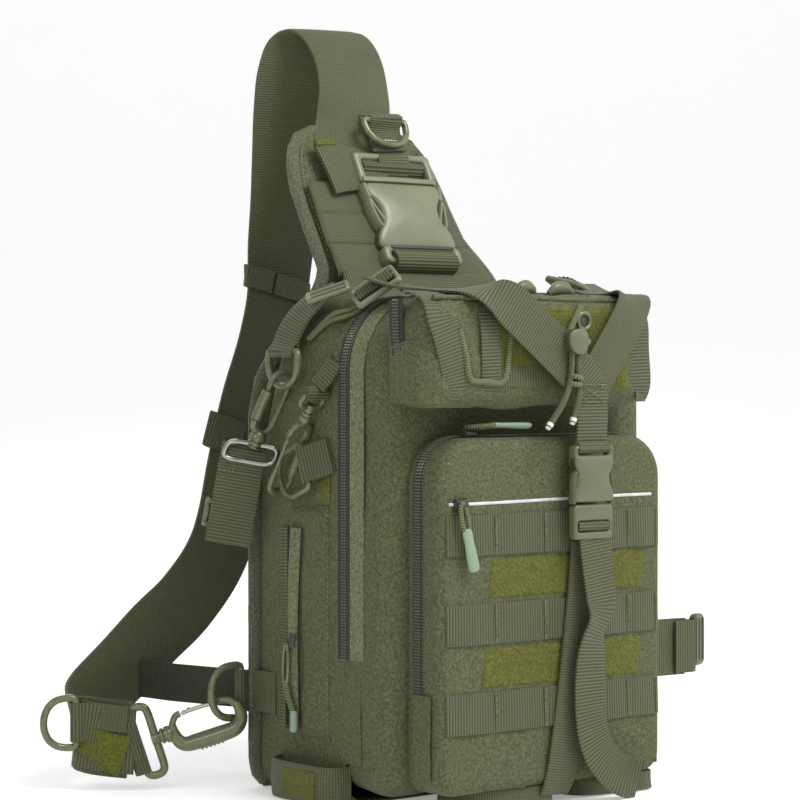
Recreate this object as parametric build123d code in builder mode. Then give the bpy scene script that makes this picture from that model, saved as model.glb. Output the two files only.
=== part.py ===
"""Tactical sling bag: soft shells, webbing, side-release buckles, snap hooks and D-rings.

Frame, in millimetres: the origin is the centre of the base, +Z is up, and the back panel
is on the +Y side. Left and right are the sides of -X and +X.
"""
import os
from math import atan2, degrees, radians, tan

from build123d import *

os.makedirs("parts", exist_ok=True)

# ---------------------------------------------------------------- driving dimensions
WALL = 2.5                # folded cloth and foam of the soft shells
GAP = 0.3                 # clearance between pieces that move past each other
WEBBING = 25.0            # narrow webbing width
WIDE_WEBBING = 50.0       # shoulder strap width
WEB_THICK = 2.0           # webbing thickness

# back panel, seen from the side, and its neck that leans back
BACK_Y = 86.0
PANEL_FRONT_Y = 78.0
PANEL_HALF = 115.0
BEND_Z = 249.0
NECK_BASE = (58.0, 336.0)          # rear face, Y and Z
NECK_TOP = (104.0, 426.0)
NECK_BASE_FRONT = (49.4, 336.7)
NECK_TOP_FRONT = (96.9, 429.6)

# rear half of the main compartment
TUB_HALF = 107.0
TUB_FRONT_Y = -13.0
TUB_TOP_FRONT_Z = 314.0
TUB_TOP_REAR = (52.0, 325.0)
TUB_CORNER = 45.0
FOOT_CORNER = 14.0

# front half of the main compartment
FLAP_HALF = 105.0
FLAP_FRONT_Y = -55.0
FLAP_BACK_Y = TUB_FRONT_Y - 0.5
FLAP_LOW = 12.0
FLAP_TOP = 314.0

# zipped front pocket
POCKET_HALF = 91.0
POCKET_LOW = 14.0
POCKET_TOP = 229.0
POCKET_CORNER = 26.0
RIM_FRONT_Y = -66.0
POCKET_BACK_Y = RIM_FRONT_Y - 0.5
POCKET_FRONT_Y = -86.0

# pouch above the pocket
POUCH_HALF = 95.0
POUCH_LOW = 251.0
POUCH_TOP = 317.0
POUCH_FRONT_Y = -88.0

# shoulder strap behind the bag
STRAP_Y = 164.0
STRAP_THICK = 2.6

# snap hooks and their swivels
COLLAR = 7.0
STEM_RADIUS = 2.0
STEM_PLAY = 0.08
HEAD_RADIUS = 3.2
HEAD = 1.6
NEAR_BAR = 5.0
STEM_LENGTH = NEAR_BAR + 2 * GAP
GATE_START = 0.2          # gate gap, as fractions of the hook's length
GATE_END = 0.66
GATE_PLAY = 0.8


# ---------------------------------------------------------------- shared shapes
def rounded_outline(plane, half, low, high, top_radius, foot_radius):
    """Upright outline with round top corners and smaller round foot corners."""
    with BuildSketch(plane, mode=Mode.PRIVATE) as outline:
        with Locations((0, (low + high) / 2)):
            Rectangle(2 * half, high - low)
        fillet(outline.vertices().group_by(Axis.Y)[-1], top_radius)
        fillet(outline.vertices().group_by(Axis.Y)[0], foot_radius)
    return outline


def open_shell(half, low, high, top_radius, foot_radius, front, back):
    """Soft box with a front wall and side walls, open at its back."""
    rear_plane = Plane.XZ.offset(-back)
    with BuildPart() as shell:
        extrude(rounded_outline(rear_plane, half, low, high, top_radius, foot_radius).sketch,
                amount=back - front)
        extrude(rounded_outline(rear_plane, half - WALL, low + WALL, high - WALL,
                            top_radius - WALL, foot_radius - WALL).sketch,
                amount=back - front - WALL, mode=Mode.SUBTRACT)
    return shell


def outline_band(half, low, high, top_radius, foot_radius, thickness, front, back, cut_below):
    """Band of the given thickness round the outside of an outline, above one height."""
    rear_plane = Plane.XZ.offset(-back)
    with BuildPart() as band:
        extrude(rounded_outline(rear_plane, half + thickness, low - thickness, high + thickness,
                            top_radius + thickness, foot_radius + thickness).sketch,
                amount=back - front)
        extrude(rounded_outline(rear_plane, half, low, high, top_radius, foot_radius).sketch,
                amount=back - front, mode=Mode.SUBTRACT)
        with Locations((0, (front + back) / 2, (low + cut_below) / 2 - thickness)):
            Box(3 * half, 2 * (back - front), cut_below - low + 2 * thickness, mode=Mode.SUBTRACT)
    return band


def box_between(low, high):
    """Plain block from one corner to the opposite one."""
    with BuildPart() as block:
        with Locations(tuple((a + b) / 2 for a, b in zip(low, high))):
            Box(*(b - a for a, b in zip(low, high)))
    return block


def d_ring(plane, inside, depth, wire):
    """D-ring in its plane: the straight bar lies on local Y, and the bow reaches local +X."""
    bow_radius = 0.42 * inside
    with BuildPart() as ring:
        with BuildSketch(plane) as outer:
            with Locations(((depth - wire / 2) / 2, 0)):
                Rectangle(depth + wire / 2, inside + 2 * wire)
            fillet(outer.vertices().group_by(Axis.X)[-1], bow_radius + wire)
        extrude(amount=wire / 2, both=True)
        with BuildSketch(plane) as inner:
            with Locations(((depth - wire / 2) / 2, 0)):
                Rectangle(depth - 1.5 * wire, inside)
            fillet(inner.vertices().group_by(Axis.X)[-1], bow_radius)
        extrude(amount=wire / 2, both=True, mode=Mode.SUBTRACT)
    return ring


def ring_tab(plane, width, reach, wire):
    """Webbing folded round a ring's bar: a sleeve on local Y and a flat tail to local -X."""
    bore = 0.75 * wire + 0.1
    side = Plane(origin=plane.origin, x_dir=plane.x_dir, z_dir=-plane.y_dir)
    with BuildPart() as tab:
        with BuildSketch(side):
            Circle(bore + WEB_THICK)
            with Locations((-reach / 2, 0)):
                Rectangle(reach, 2 * WEB_THICK)
        extrude(amount=width / 2, both=True)
        with BuildSketch(side):
            Circle(bore)
        extrude(amount=width / 2 + 1, both=True, mode=Mode.SUBTRACT)
    return tab


def snap_hook(plane, length, width, wire, stem):
    """Snap hook along local X: collar and stem at the start, bow at `length`, gate gap on +Y."""
    with BuildPart() as hook:
        with BuildSketch(plane):
            with Locations((length / 2, 0)):
                SlotOverall(length, width)
        extrude(amount=wire / 2, both=True)
        with BuildSketch(plane):
            with Locations((length / 2, 0)):
                SlotOverall(length - 2 * wire, width - 2 * wire)
        extrude(amount=wire / 2, both=True, mode=Mode.SUBTRACT)
        with BuildSketch(plane):
            with Locations(((GATE_START + GATE_END) / 2 * length, width / 2 - wire / 2)):
                Rectangle((GATE_END - GATE_START) * length, wire + 1)
        extrude(amount=wire / 2 + 1, both=True, mode=Mode.SUBTRACT)
        across = Plane(origin=plane.origin, x_dir=plane.y_dir, z_dir=plane.x_dir)
        with BuildSketch(across.offset(-COLLAR)):
            Circle(0.8 * wire)
        extrude(amount=COLLAR + 0.8 * wire)
        with BuildSketch(across.offset(-(COLLAR + stem))):
            Circle(STEM_RADIUS)
        extrude(amount=stem)
        with BuildSketch(across.offset(-(COLLAR + stem))):
            Circle(HEAD_RADIUS)
        extrude(amount=-HEAD)
    return hook


def hook_gate(plane, length, width, wire):
    """Gate that closes a snap hook's gap, as a straight bar just inside the ring's line."""
    with BuildPart() as gate:
        with BuildSketch(plane):
            with Locations(((GATE_START + GATE_END) / 2 * length, width / 2 - wire / 2)):
                Rectangle((GATE_END - GATE_START) * length - 2 * GATE_PLAY, wire - 1)
        extrude(amount=wire / 2 - 0.5, both=True)
    return gate


def swivel_eye(plane, inside_wide, inside_deep, wire):
    """Loop that the hook's stem turns in: its near bar is bored, and it reaches local -X."""
    across = Plane(origin=plane.origin, x_dir=plane.y_dir, z_dir=plane.x_dir)
    start = COLLAR + GAP
    with BuildPart() as eye:
        with BuildSketch(plane):
            with Locations((-start - (inside_deep + NEAR_BAR + wire) / 2, 0)):
                RectangleRounded(inside_deep + NEAR_BAR + wire, inside_wide + 2 * wire, 5)
        extrude(amount=wire / 2, both=True)
        with BuildSketch(plane):
            with Locations((-start - NEAR_BAR - inside_deep / 2, 0)):
                RectangleRounded(inside_deep, inside_wide, 2.5)
        extrude(amount=wire / 2, both=True, mode=Mode.SUBTRACT)
        with BuildSketch(across.offset(-start)):
            Circle(STEM_RADIUS + 2.4)
        extrude(amount=-NEAR_BAR)
        with BuildSketch(across):
            Circle(STEM_RADIUS + STEM_PLAY)
        extrude(amount=-(start + NEAR_BAR), mode=Mode.SUBTRACT)
    return eye


def side_release_male(plane, half, base_low, base_high, slot_low, slot_high, thick, tongue_low):
    """Male half: a slotted base and a central guide tongue that reaches down."""
    with BuildPart() as male:
        with BuildSketch(plane):
            with Locations((0, (base_low + base_high) / 2)):
                RectangleRounded(2 * half, base_high - base_low, 3)
            with Locations((0, (slot_low + slot_high) / 2)):
                Rectangle(2 * half - 11, slot_high - slot_low, mode=Mode.SUBTRACT)
        extrude(amount=thick / 2, both=True)
        with BuildSketch(plane):
            with Locations((0, (tongue_low + base_low) / 2)):
                Rectangle(0.5 * half, base_low - tongue_low + 1)
        extrude(amount=thick / 2 - 3, both=True)
    return male


def side_release_female(plane, half, low, high, bar, cavity_low, waist_y, waist_radius, waist_x,
                        thick, wall):
    """Female half: a hollow body with waisted sides, and a webbing bar at its closed end."""
    with BuildPart() as female:
        with BuildSketch(plane):
            with Locations((0, (low + high) / 2)):
                RectangleRounded(2 * half, high - low, 4)
            with Locations((0, low + bar + 2.5)):
                Rectangle(2 * half - 11, 5, mode=Mode.SUBTRACT)
            with Locations((waist_x, waist_y), (-waist_x, waist_y)):
                Circle(waist_radius, mode=Mode.SUBTRACT)
        extrude(amount=thick / 2, both=True)
        with BuildSketch(plane):
            with Locations((0, (cavity_low + high) / 2 + 1)):
                Rectangle(2 * (half - 1.6), high - cavity_low + 2)
        extrude(amount=thick / 2 - wall, both=True, mode=Mode.SUBTRACT)
    return female


# ---------------------------------------------------------------- back panel
with BuildPart() as back_panel:
    with BuildSketch(Plane.YZ):
        with BuildLine():
            Polyline((BACK_Y, 0), (BACK_Y, BEND_Z), NECK_BASE, NECK_TOP, NECK_TOP_FRONT,
                     NECK_BASE_FRONT, (PANEL_FRONT_Y, BEND_Z - 1.2), (PANEL_FRONT_Y, 0), close=True)
        make_face()
    extrude(amount=PANEL_HALF, both=True)
    with BuildSketch(Plane.XZ.offset(-BACK_Y - 40)) as silhouette:
        with BuildLine():
            Polyline((-PANEL_HALF, 0), (-PANEL_HALF, 245), (-100, 296), (-73, 334), (-70, 418),
                     (-58, 431), (24, 431), (37, 389), (74, 336), (100, 296), (PANEL_HALF, 245),
                     (PANEL_HALF, 0), close=True)
        make_face()
        fillet(silhouette.vertices().group_by(Axis.Y)[0], 16)
    extrude(amount=BACK_Y + 100, mode=Mode.INTERSECT)
back_panel.part.label = "back_panel"
export_step(back_panel.part, "parts/back_panel.step")


# ---------------------------------------------------------------- main compartment, rear half
def tub_block(inset, front):
    """Solid block of the rear half, shrunk by `inset` on every side but the front."""
    with BuildPart() as block:
        with BuildSketch(Plane.YZ):
            with BuildLine():
                Polyline((front, inset), (PANEL_FRONT_Y - inset, inset),
                         (PANEL_FRONT_Y - inset, BEND_Z - 2),
                         (TUB_TOP_REAR[0] - inset, TUB_TOP_REAR[1] - inset),
                         (front, TUB_TOP_FRONT_Z - inset), close=True)
            make_face()
        extrude(amount=TUB_HALF, both=True)
        extrude(rounded_outline(Plane.XZ.offset(-PANEL_FRONT_Y), TUB_HALF - inset, inset,
                            TUB_TOP_REAR[1] - inset, TUB_CORNER - inset,
                            FOOT_CORNER - inset).sketch,
                amount=PANEL_FRONT_Y - front + 1, mode=Mode.INTERSECT)
    return block


tub_hollow = tub_block(WALL, TUB_FRONT_Y - 1)
with BuildPart() as main_tub:
    add(tub_block(0, TUB_FRONT_Y).part)
    add(tub_hollow.part, mode=Mode.SUBTRACT)
main_tub.part.label = "main_tub"
export_step(main_tub.part, "parts/main_tub.step")

inner_divider = box_between((-96, 70.5, 8), (96, 72.5, 200))
inner_divider.part.label = "inner_divider"
export_step(inner_divider.part, "parts/inner_divider.step")

# ---------------------------------------------------------------- side pockets
SIDE_POCKET_FRONT = -3.0
SIDE_POCKET_BACK = 42.0
SIDE_POCKET_LOW = 38.0
SIDE_POCKET_HIGH = 182.0
SIDE_POCKET_DEPTH = 9.0
face = TUB_HALF + GAP
with BuildPart() as side_pockets:
    for side in (-1, 1):
        with BuildSketch(Plane.YZ.offset(side * face)) as pocket_outline:
            with Locations(((SIDE_POCKET_FRONT + SIDE_POCKET_BACK) / 2,
                            (SIDE_POCKET_LOW + SIDE_POCKET_HIGH) / 2)):
                Rectangle(SIDE_POCKET_BACK - SIDE_POCKET_FRONT, SIDE_POCKET_HIGH - SIDE_POCKET_LOW)
            fillet(pocket_outline.vertices(), 8)
        extrude(amount=side * SIDE_POCKET_DEPTH)
        with BuildSketch(Plane.YZ.offset(side * face)) as pocket_hollow:
            with Locations(((SIDE_POCKET_FRONT + SIDE_POCKET_BACK) / 2,
                            (SIDE_POCKET_LOW + SIDE_POCKET_HIGH) / 2)):
                Rectangle(SIDE_POCKET_BACK - SIDE_POCKET_FRONT - 4,
                          SIDE_POCKET_HIGH - SIDE_POCKET_LOW - 4)
            fillet(pocket_hollow.vertices(), 6)
        extrude(amount=side * (SIDE_POCKET_DEPTH - 2), mode=Mode.SUBTRACT)
side_pockets.part.label = "side_pockets"
export_step(side_pockets.part, "parts/side_pockets.step")

# ---------------------------------------------------------------- main compartment, front half
flap_shell = open_shell(FLAP_HALF, FLAP_LOW, FLAP_TOP, 42, 12, FLAP_FRONT_Y, FLAP_BACK_Y)
flap_shell.part.label = "flap_shell"
export_step(flap_shell.part, "parts/flap_shell.step")

main_zip = outline_band(FLAP_HALF, FLAP_LOW, FLAP_TOP, 42, 12, 1.5, -24, FLAP_BACK_Y, 90)
main_zip.part.label = "main_zip"
export_step(main_zip.part, "parts/main_zip.step")

top_pouch = open_shell(POUCH_HALF, POUCH_LOW, POUCH_TOP, 22, 10, POUCH_FRONT_Y, FLAP_FRONT_Y - GAP)
top_pouch.part.label = "top_pouch"
export_step(top_pouch.part, "parts/top_pouch.step")

pouch_patch = box_between((-42, POUCH_FRONT_Y - 1.5, 258), (62, POUCH_FRONT_Y, 311))
pouch_patch.part.label = "pouch_patch"
export_step(pouch_patch.part, "parts/pouch_patch.step")

# ---------------------------------------------------------------- front pocket
rim_plane = Plane.XZ.offset(-(FLAP_FRONT_Y - GAP))
with BuildPart() as pocket_rim:
    extrude(rounded_outline(rim_plane, POCKET_HALF, POCKET_LOW, POCKET_TOP, POCKET_CORNER, 12).sketch,
            amount=FLAP_FRONT_Y - GAP - RIM_FRONT_Y)
    extrude(rounded_outline(rim_plane, POCKET_HALF - WALL, POCKET_LOW + WALL, POCKET_TOP - WALL,
                        POCKET_CORNER - WALL, 12 - WALL).sketch,
            amount=FLAP_FRONT_Y - GAP - RIM_FRONT_Y, mode=Mode.SUBTRACT)
pocket_rim.part.label = "pocket_rim"
export_step(pocket_rim.part, "parts/pocket_rim.step")

pocket_shell = open_shell(POCKET_HALF, POCKET_LOW, POCKET_TOP, POCKET_CORNER, 12,
                          POCKET_FRONT_Y, POCKET_BACK_Y)
pocket_shell.part.label = "pocket_shell"
export_step(pocket_shell.part, "parts/pocket_shell.step")

pocket_zip = outline_band(POCKET_HALF, POCKET_LOW, POCKET_TOP, POCKET_CORNER, 12, 1.5,
                          -74, POCKET_BACK_Y, 75)
pocket_zip.part.label = "pocket_zip"
export_step(pocket_zip.part, "parts/pocket_zip.step")

ROW_CENTRES = (62.5, 117.0, 171.5)
with BuildPart() as molle_rows:
    with Locations([(0, POCKET_FRONT_Y - WEB_THICK / 2, z) for z in ROW_CENTRES]):
        Box(2 * 88, WEB_THICK, WEBBING)
molle_rows.part.label = "molle_rows"
export_step(molle_rows.part, "parts/molle_rows.step")

PATCH_CENTRES = (89.5, 144.5)
with BuildPart() as loop_patches:
    with Locations([(17, POCKET_FRONT_Y - 0.8, z) for z in PATCH_CENTRES]):
        Box(126, 1.6, WEBBING)
loop_patches.part.label = "loop_patches"
export_step(loop_patches.part, "parts/loop_patches.step")

# ---------------------------------------------------------------- large side-release buckle
neck_lean = degrees(atan2(NECK_TOP_FRONT[0] - NECK_BASE_FRONT[0],
                          NECK_TOP_FRONT[1] - NECK_BASE_FRONT[1]))
neck_up = Vector(0, 0, 1).rotate(Axis.X, -neck_lean)
neck_out = Vector(0, -1, 0).rotate(Axis.X, -neck_lean)
BUCKLE_STANDOFF = 9.0
buckle_origin = Vector(0, *NECK_BASE_FRONT) + neck_up * 3 + neck_out * BUCKLE_STANDOFF
buckle_plane = Plane(origin=buckle_origin, x_dir=(1, 0, 0), z_dir=neck_out)

large_female = side_release_female(buckle_plane, 32.5, 0, 58, 6, 20, 33, 15, 39.5, 14, 2.6)
large_female.part.label = "large_buckle_female"
export_step(large_female.part, "parts/large_buckle_female.step")

large_male = side_release_male(buckle_plane, 32.5, 58.5, 82, 68, 77, 11, 26)
large_male.part.label = "large_buckle_male"
export_step(large_male.part, "parts/large_buckle_male.step")

for side, name in ((-1, "large_prong_left"), (1, "large_prong_right")):
    with BuildPart() as prong:
        with BuildSketch(buckle_plane):
            with Locations((side * 27.2, 40.2)):
                RectangleRounded(6, 36, 2.4)
        extrude(amount=3.6, both=True)
    prong.part.label = name
    export_step(prong.part, f"parts/{name}.step")

with BuildPart() as buckle_webbing:
    with BuildSketch(Plane.YZ):
        with BuildLine():
            bar = Vector(0, *NECK_BASE_FRONT) + neck_up * 2 + neck_out * 1.6
            foot = Vector(0, NECK_BASE_FRONT[0] + 4, NECK_BASE_FRONT[1] - 16)
            Polyline((foot.Y, foot.Z), (foot.Y - 4.5, foot.Z), (bar.Y - 1.5, bar.Z), (bar.Y, bar.Z),
                     close=True)
        make_face()
    extrude(amount=WIDE_WEBBING / 2, both=True)
    add(back_panel.part, mode=Mode.SUBTRACT)
    add(large_female.part, mode=Mode.SUBTRACT)
    add(main_tub.part, mode=Mode.SUBTRACT)
buckle_webbing.part.label = "buckle_anchor_webbing"
export_step(buckle_webbing.part, "parts/buckle_anchor_webbing.step")

# ---------------------------------------------------------------- shoulder strap, front part
strap_start = buckle_origin + neck_up * 89
strap_lean = Plane(origin=strap_start, x_dir=(0, 1, 0), z_dir=Vector(0.97, 0, 0.243))
with BuildPart() as strap_front:
    with BuildSketch(strap_lean):
        with BuildLine():
            FilletPolyline((0, 0), (12, 22), (28, 62), (38, 88), (57, 90), (66, 68), (69, 54),
                           radius=(20, 20, 9, 9, 16))
        trace(line_width=STRAP_THICK)
    extrude(amount=WIDE_WEBBING / 2, both=True)
strap_front.part.label = "shoulder_strap_front"
export_step(strap_front.part, "parts/shoulder_strap_front.step")


STRAP_RING_WIRE = 4.0
ring_pivot = strap_start + Vector(-6, -2.2, 18.0)
strap_ring_plane = Plane(origin=ring_pivot, x_dir=-neck_up, z_dir=neck_out)
strap_ring = d_ring(strap_ring_plane, 30, 21, STRAP_RING_WIRE)
strap_ring.part.label = "strap_ring"
export_step(strap_ring.part, "parts/strap_ring.step")

strap_ring_tab = ring_tab(Plane(origin=ring_pivot, x_dir=-neck_up, z_dir=neck_out), 27, 16, STRAP_RING_WIRE)
strap_ring_tab.part.label = "strap_ring_tab"
export_step(strap_ring_tab.part, "parts/strap_ring_tab.step")

# ---------------------------------------------------------------- shoulder strap, rear part
with BuildPart() as strap_rear:
    with BuildSketch(Plane.XZ.offset(-STRAP_Y)):
        with BuildLine():
            FilletPolyline((-28, 440), (-32, 380), (-38, 320), (-52, 256), (-78, 180), (-92, 140),
                           (-118, 108), (-152, 78), (-188, 52),
                           radius=(150, 150, 150, 150, 60, 60, 100))
        trace(line_width=WIDE_WEBBING)
    extrude(amount=-STRAP_THICK)
strap_rear.part.label = "shoulder_strap_rear"
export_step(strap_rear.part, "parts/shoulder_strap_rear.step")

# ---------------------------------------------------------------- corner ring and main snap hook
RING_WIRE = 4.0
corner_pivot = Vector(-121, 84, 63.5)
corner_ring_plane = Plane(origin=corner_pivot, x_dir=(-1, 0, 0), z_dir=(0, 1, 0))
corner_ring = d_ring(corner_ring_plane, 29, 25, RING_WIRE)
corner_ring.part.label = "corner_ring"
export_step(corner_ring.part, "parts/corner_ring.step")

HOOK_INSET = 13.0         # from the bow's tip back to where the ring's wire passes through
MAIN_HOOK = {"length": 50, "width": 25, "wire": 4.4}
hook_along = Vector(0.749, -0.586, 0.309)
hook_facing = Vector(-0.616, -0.788, 0.0)
hook_cross = Vector(-133.6, 84, 48.3)
main_hook_plane = Plane(origin=hook_cross - hook_along * (MAIN_HOOK["length"] - HOOK_INSET),
                        x_dir=hook_along, z_dir=hook_facing)
main_hook = snap_hook(main_hook_plane, stem=STEM_LENGTH, **MAIN_HOOK)
main_hook.part.label = "main_hook"
export_step(main_hook.part, "parts/main_hook.step")
main_gate = hook_gate(main_hook_plane, **MAIN_HOOK)
main_gate.part.label = "main_hook_gate"
export_step(main_gate.part, "parts/main_hook_gate.step")
main_eye = swivel_eye(main_hook_plane, 40, 8, RING_WIRE)
main_eye.part.label = "main_hook_eye"
export_step(main_eye.part, "parts/main_hook_eye.step")

# ---------------------------------------------------------------- strap end and its ring
with BuildPart() as strap_end:
    with BuildSketch(Plane.XY.offset(14)):
        with BuildLine():
            FilletPolyline((-166, 160), (-196, 160), (-207, 153), (-204, 141), (-188, 128),
                           radius=(12, 5, 8))
        trace(line_width=3)
    extrude(amount=38)
strap_end.part.label = "strap_end"
export_step(strap_end.part, "parts/strap_end.step")

end_pivot = Vector(-213, 137, 45)
end_ring_plane = Plane(origin=end_pivot, x_dir=(-0.93, 0.36, 0), z_dir=(-0.36, -0.93, 0))
end_ring = d_ring(end_ring_plane, 27, 23, RING_WIRE)
end_ring.part.label = "strap_end_ring"
export_step(end_ring.part, "parts/strap_end_ring.step")

# ---------------------------------------------------------------- rings and hooks on the left side
SIDE_X = -118.0
upper_ring_plane = Plane(origin=(SIDE_X, 40, 284), x_dir=(0, 0, -1), z_dir=(-1, 0, 0))
upper_ring = d_ring(upper_ring_plane, 27, 24, RING_WIRE)
upper_ring.part.label = "side_ring_upper"
export_step(upper_ring.part, "parts/side_ring_upper.step")

lower_ring_plane = Plane(origin=(SIDE_X, 17, 212), x_dir=(0, 0.93, -0.37), z_dir=(-1, 0, 0))
lower_ring = d_ring(lower_ring_plane, 25, 30, RING_WIRE)
lower_ring.part.label = "side_ring_lower"
export_step(lower_ring.part, "parts/side_ring_lower.step")

SIDE_INSET = 11.0
HOOK_A = {"length": 46.0, "width": 18.0, "wire": 4.0}
a_along = Vector(0.25, -0.33, 0.91).normalized()
a_wide = Vector(-0.97, 0.0, 0.2).normalized()
hook_a_plane = Plane(origin=Vector(SIDE_X, 44, 262) - a_along * (HOOK_A["length"] - SIDE_INSET),
                     x_dir=a_along, z_dir=a_along.cross(a_wide))
hook_a = snap_hook(hook_a_plane, stem=STEM_LENGTH, **HOOK_A)
hook_a.part.label = "side_hook_long"
export_step(hook_a.part, "parts/side_hook_long.step")
hook_a_gate = hook_gate(hook_a_plane, **HOOK_A)
hook_a_gate.part.label = "side_hook_long_gate"
export_step(hook_a_gate.part, "parts/side_hook_long_gate.step")

strap_wide = Vector(0.8, -0.573, -0.174)
accessory_plane = Plane(origin=hook_a_plane.origin, x_dir=a_along, z_dir=a_along.cross(strap_wide))
accessory_eye = swivel_eye(accessory_plane, 29, 6, 3)
accessory_eye.part.label = "accessory_eye"
export_step(accessory_eye.part, "parts/accessory_eye.step")
ACCESSORY_TOP = -(COLLAR + GAP + NEAR_BAR + 6 + 3 + GAP)
ACCESSORY_LENGTH = 58.0
with BuildPart() as accessory_strap:
    with BuildSketch(accessory_plane):
        with Locations((ACCESSORY_TOP - ACCESSORY_LENGTH / 2, 0)):
            Rectangle(ACCESSORY_LENGTH, 28)
    extrude(amount=2.5, both=True)
accessory_strap.part.label = "accessory_strap"
export_step(accessory_strap.part, "parts/accessory_strap.step")

HOOK_B = {"length": 58.0, "width": 18.0, "wire": 4.0}
b_along = Vector(0, 0.56, -0.83).normalized()
b_cross = Vector(SIDE_X, 43, 201.6)
hook_b_plane = Plane(origin=b_cross - b_along * (HOOK_B["length"] - SIDE_INSET),
                     x_dir=b_along, z_dir=b_along.cross(Vector(-1, 0, 0)))
hook_b = snap_hook(hook_b_plane, stem=STEM_LENGTH, **HOOK_B)
hook_b.part.label = "side_hook_ribbed"
export_step(hook_b.part, "parts/side_hook_ribbed.step")
hook_b_gate = hook_gate(hook_b_plane, **HOOK_B)
hook_b_gate.part.label = "side_hook_ribbed_gate"
export_step(hook_b_gate.part, "parts/side_hook_ribbed_gate.step")
hook_b_eye = swivel_eye(hook_b_plane, 13, 6, 3)
hook_b_eye.part.label = "side_hook_ribbed_eye"
export_step(hook_b_eye.part, "parts/side_hook_ribbed_eye.step")

# ---------------------------------------------------------------- right side
right_ring_plane = Plane(origin=(114, -40, 62), x_dir=(0, -0.3, -0.954), z_dir=(1, 0, 0))
right_ring = d_ring(right_ring_plane, 14, 18, 3)
right_ring.part.label = "right_ring"
export_step(right_ring.part, "parts/right_ring.step")

right_strap = box_between((TUB_HALF + 0.5, -17, 66), (196, -13, 102))
right_strap.part.label = "right_strap"
export_step(right_strap.part, "parts/right_strap.step")

with BuildPart() as tri_glide:
    with Locations((195, -15, 84)):
        Box(14, 10, 45)
        Box(20, 4.6, 37, mode=Mode.SUBTRACT)
tri_glide.part.label = "tri_glide"
export_step(tri_glide.part, "parts/tri_glide.step")

# ---------------------------------------------------------------- tabs that hold the rings
tabs = [
    ring_tab(corner_ring_plane, 22, 5.5, RING_WIRE),
    ring_tab(end_ring_plane, 24, 6, RING_WIRE),
    ring_tab(upper_ring_plane, 25, 16, RING_WIRE),
    ring_tab(lower_ring_plane, 23, 16, RING_WIRE),
    ring_tab(right_ring_plane, 12, 10, 3),
]
with BuildPart() as ring_tabs:
    for tab in tabs:
        add(tab.part)
ring_tabs.part.label = "ring_tabs"
export_step(ring_tabs.part, "parts/ring_tabs.step")

# ---------------------------------------------------------------- loops at the bottom corners
with BuildPart() as corner_loops:
    for side in (-1, 1):
        with Locations((side * (TUB_HALF + 9.3), 20, 13)):
            Box(18, 64, 26)
        with Locations((side * (TUB_HALF + 8.3), 20, 13)):
            Box(16, 60, 28, mode=Mode.SUBTRACT)
corner_loops.part.label = "corner_loops"
export_step(corner_loops.part, "parts/corner_loops.step")

# ---------------------------------------------------------------- compression strap over the pouch
STRAP_FACE_Y = -95.0
STRAP_TOP_Z = 318.3
JUNCTION = (20.0, 264.0)
legs_front_plane = Plane.XZ.offset(-STRAP_FACE_Y)
legs_top_plane = Plane.XY.offset(STRAP_TOP_Z)
LEG_EDGES = ((-50.0, -78.0), (72.0, 86.0))
with BuildPart() as strap_legs:
    for edge_x, rear_x in LEG_EDGES:
        with BuildSketch(legs_front_plane):
            with BuildLine():
                Polyline((edge_x, STRAP_TOP_Z + WEB_THICK + 6), JUNCTION)
            trace(line_width=WEBBING)
        extrude(amount=WEB_THICK)
        with BuildSketch(legs_top_plane):
            with BuildLine():
                Polyline((edge_x, STRAP_FACE_Y - WEB_THICK), (rear_x, -28))
            trace(line_width=WEBBING)
        extrude(amount=WEB_THICK)
    with Locations((JUNCTION[0], STRAP_FACE_Y - WEB_THICK / 2, 260)):
        Box(WEBBING, WEB_THICK, 20)
    with Locations((0, 0, STRAP_TOP_Z + WEB_THICK + 20)):
        Box(400, 400, 40, mode=Mode.SUBTRACT)
strap_legs.part.label = "y_strap_legs"
export_step(strap_legs.part, "parts/y_strap_legs.step")

for centre_x, turn, name in ((-81.0, 23.0, "ladder_lock_left"), (88.0, -12.0, "ladder_lock_right")):
    lock_plane = Plane.XY.offset(327).rotated((0, 0, turn))
    with BuildPart() as ladder_lock:
        with BuildSketch(Plane(origin=(centre_x, -6, 326), x_dir=lock_plane.x_dir, z_dir=(0, 0, 1))):
            RectangleRounded(33, 34, 3)
            with Locations((0, 10.5), (0, 0.5), (0, -10.5)):
                Rectangle(26, 6.5, mode=Mode.SUBTRACT)
        extrude(amount=4)
    ladder_lock.part.label = name
    export_step(ladder_lock.part, f"parts/{name}.step")

y_strap_stem = box_between((7.5, STRAP_FACE_Y - WEB_THICK, 226), (32.5, STRAP_FACE_Y, 248))
y_strap_stem.part.label = "y_strap_stem"
export_step(y_strap_stem.part, "parts/y_strap_stem.step")

# ---------------------------------------------------------------- small side-release buckle
small_plane = Plane(origin=(20, -98.5, 225), x_dir=(-1, 0, 0), z_dir=(0, -1, 0))
small_female = side_release_female(small_plane, 16.5, 0, 36, 3.5, 12, 21, 9, 22, 9, 1.8)
small_female.part.label = "small_buckle_female"
export_step(small_female.part, "parts/small_buckle_female.step")
small_male = side_release_male(small_plane, 16.5, 36.5, 59, 47, 54, 8, 16)
small_male.part.label = "small_buckle_male"
export_step(small_male.part, "parts/small_buckle_male.step")
for side, name in ((1, "small_prong_left"), (-1, "small_prong_right")):
    with BuildPart() as prong:
        with BuildSketch(small_plane):
            with Locations((side * 12.3, 25)):
                RectangleRounded(4, 22.4, 1.5)
        extrude(amount=2.3, both=True)
    prong.part.label = name
    export_step(prong.part, f"parts/{name}.step")

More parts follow.
